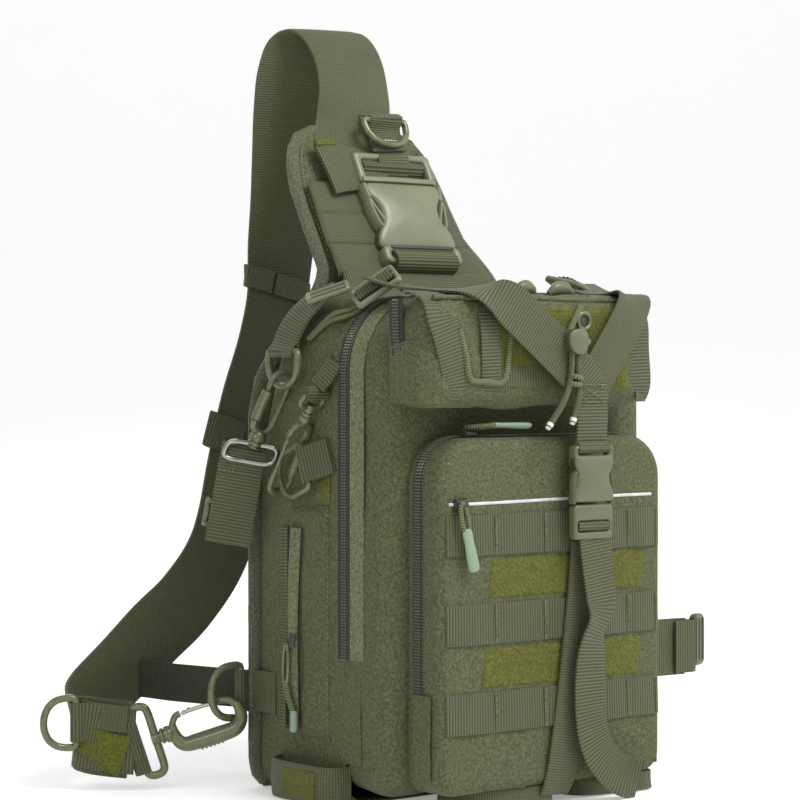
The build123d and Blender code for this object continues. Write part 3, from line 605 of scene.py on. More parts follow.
def outline_loop(half, low, high, top_r, foot_r):
    """Outline from the foot of the left side up, over the top, down the right side and back:
    rows of x, z and the outward direction."""
    out = []
    left, right = -half, half
    for k in range(SIDE_N):
        out.append((left, lerp(low + foot_r, high - top_r, k / SIDE_N), -1, 0))
    for k in range(CORNER_N):
        a = radians(180 - 90 * k / CORNER_N)
        out.append((left + top_r + top_r * cos(a), high - top_r + top_r * sin(a), cos(a), sin(a)))
    for k in range(TOP_N):
        out.append((lerp(left + top_r, right - top_r, k / TOP_N), high, 0, 1))
    for k in range(CORNER_N):
        a = radians(90 - 90 * k / CORNER_N)
        out.append((right - top_r + top_r * cos(a), high - top_r + top_r * sin(a), cos(a), sin(a)))
    for k in range(SIDE_N):
        out.append((right, lerp(high - top_r, low + foot_r, k / SIDE_N), 1, 0))
    for k in range(FOOT_N):
        a = radians(-90 * k / FOOT_N)
        out.append((right - foot_r + foot_r * cos(a), low + foot_r + foot_r * sin(a), cos(a), sin(a)))
    for k in range(TOP_N):
        out.append((lerp(right - foot_r, left + foot_r, k / TOP_N), low, 0, -1))
    for k in range(FOOT_N):
        a = radians(-90 - 90 * k / FOOT_N)
        out.append((left + foot_r + foot_r * cos(a), low + foot_r + foot_r * sin(a), cos(a), sin(a)))
    return out


def soft_shell(name, dims, profile, material, body, slot, replaces=(), push=None, high_at=None, thick=1.6,
        cap=False, middle=0.0):
    """Sewn shell: the outline swept through (inset, y) steps from its open back to the middle of its front.
    push(point, outward direction) says how far the cloth stands out there, in mm."""
    half, low, high, top_r, foot_r = dims
    shape, rings = Shape(), []
    count = len(profile)
    for i, (inset, y) in enumerate(profile):
        a, b = profile[max(0, i - 1)], profile[min(count - 1, i + 1)]
        d_in, d_y = b[0] - a[0], b[1] - a[1]
        size = hypot(d_in, d_y) or 1.0
        out_share, front_share = -d_y / size, d_in / size
        top = high_at(y) if high_at else high
        ring = []
        for x, z, nx, nz in outline_loop(half - inset, low + inset, top - inset, max(2.0, top_r - inset),
                max(1.5, foot_r - inset)):
            p = V((x + middle, y, z))
            n = V((nx * out_share, -front_share, nz * out_share)).normalized()
            if push:
                p += n * push(p, n)
            ring.append(p)
        rings.append(ring)
    n = len(rings[0])
    for ring in rings:
        shape.points.extend(ring)
    around = [0.0]
    for k in range(n):
        around.append(around[-1] + (rings[0][(k + 1) % n] - rings[0][k]).length)
    for i in range(count - 1):
        for k in range(n):
            m = (k + 1) % n
            ids = [i * n + k, i * n + m, (i + 1) * n + m, (i + 1) * n + k]
            pts = [shape.points[j] for j in ids]
            normal = (pts[1] - pts[0]).cross(pts[3] - pts[0])
            if normal.length and abs(normal.normalized().y) > 0.72:
                uv = [(p.x * MM, p.z * MM) for p in pts]
            else:
                uv = [(pts[0].y * MM, around[k] * MM), (pts[1].y * MM, around[k + 1] * MM),
                    (pts[2].y * MM, around[k + 1] * MM), (pts[3].y * MM, around[k] * MM)]
            shape.face(ids, uv)
    if cap:
        last = (count - 1) * n
        shape.face(list(range(last, last + n)))
    thicken(shape.object(name, material, body, slot, replaces), thick)


def ease(t):
    """Smooth step from 0 to 1."""
    t = max(0.0, min(1.0, t))
    return t * t * (3 - 2 * t)


TUB_HALF, TUB_LOW = 107.0, 2.0


def tub_top(y):
    """Height of the rear half's top at that depth."""
    if y < 52:
        return lerp(314.0, 325.0, (y + 13) / 65)
    return lerp(325.0, 250.0, (y - 52) / 26)


def tub_push(p, n):
    """How far the rear half's cloth stands out: sag and folds between its seams."""
    middle = sin(pi * max(0.0, min(1.0, (p.y + 13) / 91)))
    if n.z < -0.7:
        return 0.0
    if n.z > 0.5:
        return 1.2 * middle + wobble(p, 40, 1.2, 2.0)
    sag = 2.6 * middle * sin(pi * max(0, min(1, p.z / 300)))
    fold = wobble(p, 34, 1.3, 5.0, (1, 1.4, 0.5)) + wobble(p, 13, 0.45, 7.0)
    return (sag + fold * (0.25 + 0.75 * middle)) * max(0.0, min(1.0, (n.z + 0.7) / 0.5))


tub_profile = [(0, y) for y in (78, 76, 70, 64, 58, 54, 52, 49, 43, 37, 31, 25, 19, 13, 7, 1, -4, -8, -11,
        -13)]
soft_shell("main_body_gusset", (TUB_HALF, TUB_LOW, 320, 45, 14), tub_profile, fabric, "bag", "fabric",
    "main_tub", tub_push, tub_top, 1.8)
tub_lining = Shape()
lining = [V((x * 0.985, 77.0, z)) for x, z, _, _ in outline_loop(106, 1.5, 249, 45, 14)]
tub_lining.points.extend(lining)
tub_lining.points.append(V((0, 76.0, 125)))
for k in range(len(lining)):
    tub_lining.face([k, (k + 1) % len(lining), len(lining)])
thicken(tub_lining.object("rear_lining", fabric_dark, "bag", "fabric"), 1.0)
divider = Shape()
divider_rows = [[V((x, 71.5 + wobble((x, 0, z), 40, 1.2, 9) - 1.5 * sin(pi * z / 200), z))
        for x in range(-96, 97, 8)] for z in range(8, 201, 8)]
divider.grid(divider_rows, sheet_coords(divider_rows))
thicken(divider.object("inner_sleeve", fabric_dark, "bag", "fabric", "inner_divider"), 1.4)

FLAP = (105.0, 12.0, 314.0, 42.0, 12.0)


def flap_push(p, n):
    """How far the front half's cloth stands out."""
    front = ease((-n.y - 0.2) / 0.6)
    edge = min(1.0, min(105 - abs(p.x), p.z - 12, 314 - p.z) / 26)
    fold = wobble(p, 30, 1.6, 11.0, (0.8, 1.0, 0.45)) + wobble(p, 12, 0.5, 13.0)
    side = sin(pi * max(0.0, min(1.0, (-13.5 - p.y) / 40)))
    return front * (0.4 + 0.6 * wobble(p, 24, 1.0, 4.0)) * (0.3 + edge) * 0.6 + (1 - front) * (side * 1.6
        + fold * side)


flap_profile = ([(0, y) for y in (-13.6, -16, -19, -23, -27, -31, -35, -39, -43)]
    + [(13 - 13 * cos(radians(a)), -43 - 12 * sin(radians(a))) for a in range(15, 91, 15)] + [(i, -55)
        for i in (18, 26, 36, 48, 62, 78, 92, 100)])
soft_shell("front_body_shell", FLAP, flap_profile, fabric, "main_flap", "fabric", "flap_shell", flap_push,
    cap=True)

POCKET = (91.0, 14.0, 229.0, 26.0, 12.0)
POCKET_Y = -86.0


def pocket_push(p, n):
    """How far the front pocket's cloth stands out, with creases near its foot."""
    front = ease((-n.y - 0.3) / 0.6)
    inside = min(91 - abs(p.x), p.z - 14, 229 - p.z)
    edge = ease(inside / 20)
    bag = 2.0 * sin(pi * max(0, min(1, (p.z - 14) / 215))) * ease((91 - abs(p.x)) / 60)
    fold = wobble(p, 26, 0.9, 21.0) + wobble(p, 11, 0.35, 23.0)
    low = ease((52 - p.z) / 40)
    crease = low * (wobble(p, 16, 1.8, 25.0, (1, 1, 1.6)))
    return front * edge * (bag * 0.5 + fold * 0.7 + crease) + (1 - front) * (0.3 * fold)


rim_profile = [(0, y) for y in (-55.4, -57, -59, -61, -63, -65, -66.1)]
soft_shell("pocket_rim_gusset", POCKET, rim_profile, fabric, "main_flap", "fabric", "pocket_rim", pocket_push)
pocket_profile = ([(0, y) for y in (-66.5, -69, -72, -75, -78, -80.5)]
    + [(5.5 - 5.5 * cos(radians(a)), -80.5 - 5.5 * sin(radians(a))) for a in (18, 36, 54, 72, 90)]
    + [(i, POCKET_Y) for i in (8, 11, 15, 20, 26, 33, 41, 50, 59, 68, 77, 85)])
soft_shell("pocket_front_shell", POCKET, pocket_profile, fabric, "pocket_flap", "fabric", "pocket_shell",
    pocket_push, cap=True)

POUCH = (92.5, 251.0, 317.0, 20.0, 15.0)
POUCH_MIDDLE = -12.5
POUCH_Y = -88.0


def pouch_push(p, n):
    """How far the top pouch's cloth stands out, more at its ends."""
    front = ease((-n.y - 0.3) / 0.6)
    aside = abs(p.x - POUCH_MIDDLE)
    inside = min(92.5 - aside, p.z - 251, 317 - p.z)
    fold = wobble(p, 22, 2.4, 31.0, (1, 1, 0.8)) + wobble(p, 9, 0.9, 33.0, (1.6, 1, 1))
    ends = ease((aside - 45) / 40)
    bag = 1.5 * ease(inside / 14)
    return front * ease(inside / 9) * (bag + fold * (0.35 + ends)) + (1 - front) * (0.4 + fold
        * 0.9) * ease((-56 - p.y) / 8)


pouch_profile = ([(0, y) for y in (-55.4, -59, -63, -67, -71, -75, -79)]
    + [(9 - 9 * cos(radians(a)), -79 - 9 * sin(radians(a))) for a in range(15, 91, 15)] + [(i, POUCH_Y)
        for i in (12, 16, 20, 24, 28, 31)])
soft_shell("top_pouch_shell", POUCH, pouch_profile, fabric, "main_flap", "fabric", "top_pouch", pouch_push,
    cap=True, middle=POUCH_MIDDLE)


# ---------------------------------------------------------------- zips
def zip_path(dims, y, off, z_low, step=2.0):
    """Points round an outline's sides and top above z_low, `off` mm outside it, and the way out there."""
    half, low, high, top_r, foot_r = dims
    rows = []
    for k in range(max(2, int((high - top_r - z_low) / step))):
        rows.append((-half, z_low + k * step, -1, 0))
    for x, z, nx, nz in outline_loop(half, low, high, top_r, foot_r)[SIDE_N:SIDE_N + 2 * CORNER_N + TOP_N]:
        rows.append((x, z, nx, nz))
    for k in range(max(2, int((high - top_r - z_low) / step)), -1, -1):
        rows.append((half, z_low + k * step, 1, 0))
    return [[x + nx * off, y, z + nz * off, nx, 0, nz] for x, z, nx, nz in rows]


def beads(shape, path, shift, pitch, wide, tall, lift, side):
    """One side of a zip's coil: rounded beads of thread in a row."""
    walked, due = 0.0, 0.0
    for a_row, b_row in zip(path, path[1:]):
        a, b = V(a_row[:3]), V(b_row[:3])
        gap = (b - a).length
        while walked + gap >= due and gap > 1e-6:
            t = (due - walked) / gap
            p = a.lerp(b, t)
            out = V(a_row[3:6]).lerp(V(b_row[3:6]), t).normalized()
            d = (b - a).normalized()
            across = out.cross(d).normalized() * side
            c = p + across * shift + out * lift
            tilt = d * (0.22 * pitch)
            base = len(shape.points)
            shape.points.extend([c - across * wide - tilt, c + across * wide + tilt, c + d * pitch * 0.46,
                    c - d * pitch * 0.46, c + out * tall, c - out * tall * 0.6])
            for i, j, k in ((0, 2, 4), (2, 1, 4), (1, 3, 4), (3, 0, 4), (2, 0, 5), (1, 2, 5), (3, 1, 5),
                    (0, 3, 5)):
                shape.face((base + i, base + j, base + k))
            due += pitch
        walked += gap
    return shape


def zip_half(name, path, side, body, replaces=(), wide=6.2, light=None, light_wide=0.0):
    """One half of a closed zip: its tape and coil, and its edging where it has one."""
    rows = [[row[0] + row[3] * 0.6, row[1] + side * wide / 2, row[2] + row[5] * 0.6, 0, 1, 0] for row in path]
    pieces = [ribbon(Shape(), rows, wide, 0.9).object(name + "_tape", coil_tape)]
    chain = Shape()
    for off, wide_bead in ((0.75, 0.62), (2.25, 0.66), (4.6, 0.34)):
        row_path = [[row[0], row[1] + side * off, row[2]] + row[3:6] for row in path]
        beads(chain, row_path, 0, 1.9, wide_bead, 0.75, 1.35, side if off != 2.25 else -side)
    pieces.append(chain.object(name + "_coil", teeth))
    if light:
        rows = [[row[0] + row[3] * 0.75, row[1] + side * (wide + light_wide / 2), row[2] + row[5] * 0.75, 0,
                1, 0] for row in path]
        pieces.append(ribbon(Shape(), rows, light_wide, 1.1, crown=0.5).object(name + "_edging", light))
    for piece in pieces:
        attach(piece, body)
    if replaces:
        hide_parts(replaces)
    return pieces


main_path = zip_path((TUB_HALF, 0, 316, 44, 14), -13.2, 1.6, 92)
zip_half("main_zip_rear", main_path, 1, "bag", light=fabric, light_wide=5)
zip_half("main_zip_front", main_path, -1, "main_flap", replaces="main_zip", light=fabric_light, light_wide=14)
pocket_path = zip_path(POCKET, -66.3, 1.0, 74)
zip_half("pocket_zip_rear", pocket_path, 1, "main_flap", wide=4)
zip_half("pocket_zip_front", pocket_path, -1, "pocket_flap", replaces="pocket_zip", wide=4)

# piping along the front pocket's sewn edge
pocket_seam = zip_path((88.2, 17, 226.2, 23, 9), -85.2, 0, 18, 3)
tube(Shape(), pocket_seam, 1.5, 7).object("pocket_edge_piping", fabric, "pocket_flap", "fabric")

# ---------------------------------------------------------------- front pocket: rows, patches, piping, seams
FRONT = V((0, -1, 0))


def pocket_face(x, z):
    """Y of the pocket's cloth at a point of its front."""
    return POCKET_Y - pocket_push(V((x, POCKET_Y, z)), FRONT)


ROW_COLUMNS = (-88, -50, -10, 30, 61, 86)
ROW_HEIGHTS = (62.5, 117.0, 171.5)
PATCH_HEIGHTS = (89.5, 144.5)


def row_bow(x):
    """How far the row's webbing bows out between its stitched columns."""
    for a, b in zip(ROW_COLUMNS, ROW_COLUMNS[1:]):
        if a <= x <= b:
            return 1.1 * sin(pi * (x - a) / (b - a)) ** 0.7
    return 0.0


rows_shape, tacks = Shape(), Shape()
for height in ROW_HEIGHTS:
    path = [[x, pocket_face(x, height) - 1.3 - row_bow(x), height + wobble((x, 0, height), 60, 0.5, 3), 0,
            0.02, 1] for x in range(-88, 88, 3)]
    ribbon(rows_shape, path, 25, 1.7)
    for column in ROW_COLUMNS[1:]:
        y = pocket_face(column, height) - 2.5
        for dx in (-0.55, 0.55):
            stitches(tacks, [(column + dx + (0.9 if height < 100 else 0.4) * t, y, height + 11.5 - 23 * t)
                    for t in (0, 0.5, 1)], FRONT, 1.5, 1.35, 0.38)
rows_shape.object("webbing_rows", web, "pocket_flap", "webbing", "molle_rows")
tacks.object("row_bar_tacks", thread, "pocket_flap", "webbing")


def pile_patch(name, x0, x1, z0, z1, face, thick, body, replaces=(), skew=0.0):
    """Loop patch: a slab whose face and edges are uneven with pile."""
    shape = Shape()
    nx, nz = int((x1 - x0) / 1.6), max(8, int((z1 - z0) / 1.6))
    rows = []
    for j in range(nz + 1):
        row = []
        for i in range(nx + 1):
            rim = i in (0, nx) or j in (0, nz)
            x, z = lerp(x0, x1, i / nx), lerp(z0, z1, j / nz)
            fray = wobble((x, 0, z), 2.1, 0.9, 41) if rim else 0
            lift = thick * (0.35 if rim else 1.0) + (0 if rim else wobble((x, 0, z), 1.7, 0.45, 43))
            row.append(V((x + fray + skew * (z - z0), face(x, z) - lift, z + fray)))
        rows.append(row)
    coords = sheet_coords(rows)
    shape.grid(rows, coords)
    back = [[V((p.x, face(p.x, p.z) + 0.6, p.z)) for p in row] for row in rows]
    shape.grid(back, coords, flip=True)
    rim_ids = ([(0, i) for i in range(nx)] + [(j, nx) for j in range(nz)] + [(nz, i)
            for i in range(nx, 0, -1)] + [(j, 0) for j in range(nz, 0, -1)])
    count = (nx + 1) * (nz + 1)
    for (j, i), (m, k) in zip(rim_ids, rim_ids[1:] + rim_ids[:1]):
        a, b = j * (nx + 1) + i, m * (nx + 1) + k
        shape.face((b, a, a + count, b + count))
    return shape.object(name, loop, body, "loop", replaces)


for index, height in enumerate(PATCH_HEIGHTS):
    pile_patch("loop_patch_%d" % index, -62 + 5 * index, 71 + 3 * index, height - 13, height + 13,
        pocket_face, 2.2, "pocket_flap", "loop_patches" if index == 0 else (), skew=0.12)

PIPING_Z = 191.5
path = [(x, pocket_face(x, PIPING_Z) - 0.9, PIPING_Z + 0.8 * sin(x / 50)) for x in range(-86, 86, 4)]
tube(Shape(), path, 1.25, 8).object("reflective_line", reflective, "pocket_flap", "zip")
path = [[x, pocket_face(x, PIPING_Z) - 0.5, PIPING_Z + 4.6 + 0.8 * sin(x / 50), 0, 0.1, 1]
    for x in range(-87, 87, 4)]
ribbon(Shape(), path, 8, 1.4).object("slip_pocket_lip", fabric, "pocket_flap", "fabric")
path = [[x, pocket_face(x, PIPING_Z) - 0.15, PIPING_Z - 3 + 0.8 * sin(x / 50), 0, 0.1, 1]
    for x in range(-86, 86, 4)]
ribbon(Shape(), path, 4.5, 0.8).object("slip_pocket_zip", coil_tape, "pocket_flap", "zip")

seams = Shape()
stitches(seams, [(x, pocket_face(x, 215.5) - 0.25, 215.5) for x in range(-86, 88, 6)], FRONT, 3.4, 2.4, 0.33)
for edge in (-85.2, 85.2):
    stitches(seams, [(edge, pocket_face(edge, z) - 0.2, z) for z in range(30, 205, 6)], FRONT, 3.2, 2.2, 0.26)
seams.object("pocket_top_stitching", thread, "pocket_flap", "fabric")

# two rows of stitching on the band of cloth beside the pocket's zip
band = Shape()
for inset_y in (-71.5, -79.5):
    path = zip_path(POCKET, inset_y, 0.35, 24, 3)
    for a_row, b_row in zip(path, path[1:]):
        a, b = V(a_row[:3]), V(b_row[:3])
        if (b - a).length < 0.5:
            continue
        d = (b - a).normalized()
        c = (a + b) / 2
        tube(band, [c - d * 1.0, c, c + d * 1.0], 0.3, 5)
band.object("pocket_gusset_stitching", thread_dark, "pocket_flap", "fabric")

# bottom of the front body: end pads that hold the zip's ends
for name, y_mid, z_mid, body, height, wide, off in (("main", -19, 60, "main_flap", 66, 22, 107.2),
        ("pocket", -72, 48, "pocket_flap", 52, 15, 93.0)):
    for sign in (-1, 1):
        rows = [[sign * (off + 0.9 + 0.5 * sin(pi * t) + wobble((0, y_mid, z_mid + 90 * t), 14, 0.5, 51)),
                y_mid, z_mid - height / 2 + height * t, 0, 1, 0] for t in [k / 16 for k in range(17)]]
        ribbon(Shape(), rows, wide, 2.0, crown=0.9).object("%s_zip_end_pad_%s" % (name, "left" if sign < 0
                else "right"), fabric, body, "fabric")

# ---------------------------------------------------------------- top pouch
def pouch_face(x, z):
    """Y of the top pouch's cloth at a point of its front."""
    return POUCH_Y - pouch_push(V((x, POUCH_Y, z)), FRONT)


pile_patch("pouch_loop_patch", -52, 58, 259, 312, pouch_face, 2.0, "main_flap", "pouch_patch", skew=-0.04)
for name, x0, top_x, width in (("left", -82, -93, 22), ("middle", -56, -58, 15), ("right", 68, 66, 20)):
    points = [(x0, pouch_face(x0, 262) + 2, 254, 1, 0, 0), (x0, pouch_face(x0, 268) - 1.6, 264, 1, 0, 0),
        (lerp(x0, top_x, 0.5), pouch_face(x0, 285) - 2.8, 285, 1, 0, 0),
        (top_x, pouch_face(top_x, 300) - 2.0, 303, 1, 0, 0), (top_x, -84, 314.5, 1, 0, 0),
        (top_x, -72, 319, 1, 0, 0)]
    strap("pouch_webbing_" + name, points, width, 1.8, web, "main_flap")
path = [[x, pouch_face(x, 268) - 1.5, 268 - 0.02 * x + wobble((x, 0, 0), 20, 1.0, 3), 0, 0.1, 1]
    for x in range(-62, 0, 4)]
ribbon(Shape(), path, 14, 1.8).object("pouch_lower_webbing", web, "main_flap", "webbing")
ring = [(20 + 5.2 * cos(a), pouch_face(20, 302) - 2.6, 303 + 5.2 * sin(a))
    for a in [tau * k / 24 for k in range(24)]]
tube(Shape(), ring, 1.5, 8, closed=True).object("pouch_grommet", painted, "main_flap", "metal")
path = [(20, pouch_face(20, 302) - 2.2, 303), (20, pouch_face(20, 302) - 1.4, 303)]
# a near-black disc in the grommet's hole: painted shade
tube(Shape(), path, 4.4, 20).object("pouch_grommet_hole_shade", coil, "main_flap", "zip")
pouch_zip = [[x, -63 - 2.5 * cos(x / 60), 319.3 + wobble((x, 0, 0), 30, 0.8, 6), 0, 0, 1]
    for x in range(-96, 72, 3)]
chain = Shape()
for off in (-2.2, -0.75, 0.75, 2.2):
    beads(chain, pouch_zip, off, 1.9, 0.64, 0.75, 1.0, 1)
chain.object("pouch_zip_coil", teeth, "main_flap", "zip")
path = [row[:3] + [0.1, 1, 0] for row in pouch_zip]
ribbon(Shape(), path, 12, 1.0).object("pouch_zip_tape", coil_tape, "main_flap", "zip")
path = [(x, -86.5 + 2.0 * (1 - cos(radians(min(90, max(0, abs(x - POUCH_MIDDLE) - 72) * 4)))),
        316.2 + wobble((x, 0, 0), 25, 0.7, 8)) for x in range(-97, 74, 4)]
tube(Shape(), path, 1.5, 7).object("pouch_edge_piping", fabric, "main_flap", "fabric")

# the pouch's ends: the zip turns down each end, into a pad of cloth that wraps the corner
for sign, side in ((-1, "left"), (1, "right")):
    end_x = POUCH_MIDDLE + sign * 94.5
    down = [[end_x + sign * 0.8 * sin(z / 9), -64 + 0.1 * (z - 300), z, sign, 0, 0]
        for z in range(277, 317, 2)]
    path = [row[:3] + [0, 1, 0] for row in down]
    ribbon(Shape(), path, 13, 1.0).object("pouch_end_zip_tape_" + side, coil_tape, "main_flap", "zip")
    chain = Shape()
    for off in (-2.2, -0.75, 0.75, 2.2):
        beads(chain, [[row[0], row[1] + off] + row[2:] for row in down], 0, 1.9, 0.64, 0.75, 1.0, 1)
    chain.object("pouch_end_zip_coil_" + side, teeth, "main_flap", "zip")
    pad = Shape()
    plan = [(94.3, -57), (95.4, -64), (95.8, -72), (95.0, -79.5), (91.5, -85.8), (85.5, -89.2), (78.5, -90.8)]
    rows = [[[POUCH_MIDDLE + sign * (x + 0.4 * wobble((x, y, z), 14, 2.0, 81)), y, z] for x, y in plan]
        for z in range(252, 286, 3)]
    bowed = [[V(p) + V((0, 0, 4.5 * sin(pi * k / 6) * (j / 11))) for k, p in enumerate(row)]
        for j, row in enumerate(rows)]
    pad.grid(bowed, sheet_coords(bowed, "y"), flip=sign < 0)
    pad.object("pouch_end_pad_" + side, fabric, "main_flap", "fabric")
    tube(Shape(), bowed[-1], 0.9, 7).object("pouch_end_pad_hem_" + side, fabric, "main_flap", "fabric")

# ---------------------------------------------------------------- compression strap
left_leg = [(-81, -10, 329.5, 0.94, 0.34, 0), (-76, -34, 324, 0.95, 0.3, 0),
    (-69, -62, 321.5, 0.95, 0.3, 0.05), (-61, -84, 321.5, 0.92, 0.25, 0.2), (-53, -95, 318, 0.86, 0.12, 0.45),
    (-42, -99, 309, 0.76, 0, 0.65), (-16, -100, 289, 0.66, 0, 0.75), (8, -100, 270, 0.68, 0, 0.73),
    (20, -99.4, 257, 0.95, 0, 0.3)]
right_leg = [(88, -10, 329.5, 0.98, -0.18, 0), (82, -34, 323, 0.98, -0.22, 0),
    (73, -64, 320.8, 0.98, -0.24, 0), (65, -86, 320, 0.95, -0.2, -0.1), (60, -94.5, 314, 0.88, 0, -0.45),
    (51, -97.6, 302, 0.8, 0, -0.6), (36, -97.9, 282, 0.82, 0, -0.56), (25, -97.9, 267, 0.88, 0, -0.45),
    (21, -97.6, 255, 1, 0, 0)]
leg_pieces = [strap("compression_leg_left", left_leg, 29, 1.9, web, None, crown=0.3),
    strap("compression_leg_right", right_leg, 27, 1.9, web_smooth, None, crown=0.3)]
for piece in leg_pieces:
    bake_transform(piece)
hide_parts("y_strap_legs")
stem = [(20, -98.4, 268, 1, 0, 0), (20, -99.2, 256, 1, 0, 0), (20, -99.6, 246, 1, 0, 0),
    (20, -99.4, 236, 1, 0, 0), (20, -98.6, 228, 1, 0, 0), (20, -97.4, 223.2, 1, 0, 0)]
stem_piece = strap("compression_stem", stem, 25, 2.0, web, None)
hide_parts("y_strap_stem")
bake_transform(stem_piece)
tack_box = Shape()
for line in ([(10, 263), (30, 263)], [(30, 263), (10, 252)], [(10, 252), (30, 252)], [(30, 252), (10, 263)]):
    (x0, z0), (x1, z1) = line
    stitches(tack_box, [(x0, -100.6, z0), ((x0 + x1) / 2, -100.9, (z0 + z1) / 2), (x1, -100.6, z1)], FRONT,
        2.4, 1.8, 0.3)
tack_box.object("compression_box_stitch", thread, "main_flap", "webbing")

lower = [(21, -93.5, 165, 1, 0, 0), (20.5, -92.6, 150, 1, 0, 0), (19, -92.2, 132, 1, 0, 0),
    (15, -92, 100, 1, 0, 0.1), (10, -91, 60, 0.99, 0, 0.13), (5.5, -90, 30, 0.99, 0, 0.13),
    (3, -87.5, 14, 0.99, 0, 0.13), (2, -84, 6, 0.99, 0, 0.1)]
lower_piece = strap("compression_lower_strap", lower, 25, 2.0, web_smooth, None)
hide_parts("lower_strap")
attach(lower_piece, "pocket_flap")
tail = [(21, -99.2, 172, 1, 0, 0), (22, -99.8, 166, 1, 0, 0), (24, -100.2, 150, 0.995, 0, 0.08),
    (26.5, -100.6, 132, 0.99, 0.03, 0.1), (27, -100.6, 122, 0.98, 0.15, 0.1),
    (24.5, -100.2, 113, 0.93, 0.36, 0.05), (21.5, -99.4, 104, 0.96, 0.28, 0), (20, -98.8, 92, 0.99, 0.1, 0),
    (19.5, -98.4, 72, 1, 0, 0), (20.5, -98.3, 54, 1, 0, 0), (23.5, -98.5, 40, 0.98, 0, 0.18),
    (29, -99.2, 29, 0.9, 0, 0.42), (37.5, -100.4, 20, 0.76, 0, 0.64), (47, -101.4, 14, 0.62, -0.05, 0.78),
    (58, -102.4, 12.2, 0.45, -0.3, 0.84)]
strap("compression_strap_tail", tail, 25, 1.9, web, "pocket_flap", crown=0.4)


# ---------------------------------------------------------------- back panel and neck
LEAN = radians(27.08)
NECK_UP, NECK_OUT = V((0, sin(LEAN), cos(LEAN))), V((0, -cos(LEAN), sin(LEAN)))
NECK_AT = V((0, 42.8, 343.5))
PANEL_LEFT = ((0, -104), (7, -112), (18, -115), (245, -115), (272, -110), (296, -100), (318, -87), (336, -80),
    (360, -82), (392, -83), (408, -80), (420, -75), (430, -67), (436, -52))
PANEL_RIGHT = ((0, 104), (7, 112), (18, 115), (245, 115), (272, 110), (296, 99), (318, 82), (336, 67),
    (348, 58), (361, 50), (379, 46.5), (396, 44.5), (415, 41), (430, 33), (436, 20))


def table_value(rows, at):
    """Value at a height, from (height, value) rows."""
    for (a, low), (b, high) in zip(rows, rows[1:]):
        if at <= b:
            return lerp(low, high, (at - a) / (b - a))
    return rows[-1][1]


def panel_point(x, z, off):
    """Point of the back panel at a height, `off` mm in front of the middle of its padding."""
    if z < 232:
        return V((x, 82.0 - off, z))
    if z < 266:
        bend = ease((z - 232) / 34)
        n = V((0, -1, 0)).lerp(V((0, -0.95, -0.31)), bend).normalized()
        return V((x, 82.0 - 1.6 * bend, z)) + n * off
    if z < 322:
        return V((x, lerp(80.4, 54.0, (z - 266) / 56), z)) + V((0, -0.93, -0.2)) * off
    if z < 340:
        t = (z - 322) / 18
        return V((x, 54.0 - 0.6 * sin(pi * t), z)) + V((0, -0.95, 0.1)).lerp(NECK_OUT, t) * off
    return V((x, 54.0 + (z - 340) * tan(LEAN), z)) + NECK_OUT * off


def panel_thick(x, z, half, middle):
    """Half thickness of the padding, pulled in at its sewn channels and edges."""
    edge = ease(min(half - abs(x - middle), z + 4, 438 - z) / 16)
    if z > 300:
        return 1.6 + 2.8 * edge
    rib = min(abs(z - 96), abs(z - 196))
    channel = min(1.0, min(abs(abs(x) - 36), rib) / 7) ** 0.6
    return 1.5 + edge * (1.2 + 3.2 * channel) + wobble((x, 0, z), 30, 0.3, 3)


panel = Shape()
heights = [0, 3, 7, 12, 18] + list(range(25, 425, 7)) + [425, 430, 434, 436]
COLUMNS = 33
for sign in (1, -1):
    rows, coords = [], []
    for z in heights:
        left, right = table_value(PANEL_LEFT, z), table_value(PANEL_RIGHT, z)
        half, middle = (right - left) / 2, (right + left) / 2
        row = []
        for k in range(COLUMNS):
            s = sin(pi * (k / (COLUMNS - 1) - 0.5))
            x = middle + half * s
            thick = panel_thick(x, z, half, middle) * (0.0 if k in (0, COLUMNS - 1) else 1.0)
            row.append(panel_point(x, z, sign * thick * (1.0 if sign < 0 else 0.75)))
        rows.append(row)
        coords.append([(p.x * MM, z * MM) for p in row])
    panel.grid(rows, coords, flip=sign > 0)
panel_piece = panel.object("back_panel_pad", fabric, "bag", "padded_back", "back_panel", weld=0.05)
mesh_face = air_mesh("back_air_mesh", shade(OLIVE, 0.6))
panel_piece.data.materials.append(mesh_face)
for polygon in panel_piece.data.polygons:
    if polygon.center.y > panel_point(0, polygon.center.z / MM, 0).y * MM + 0.0012:
        inside = polygon.center
        half_here = table_value(PANEL_RIGHT, inside.z / MM)
        if abs(inside.x / MM) < half_here - 9 and 8 < inside.z / MM < 300:
            polygon.material_index = 1

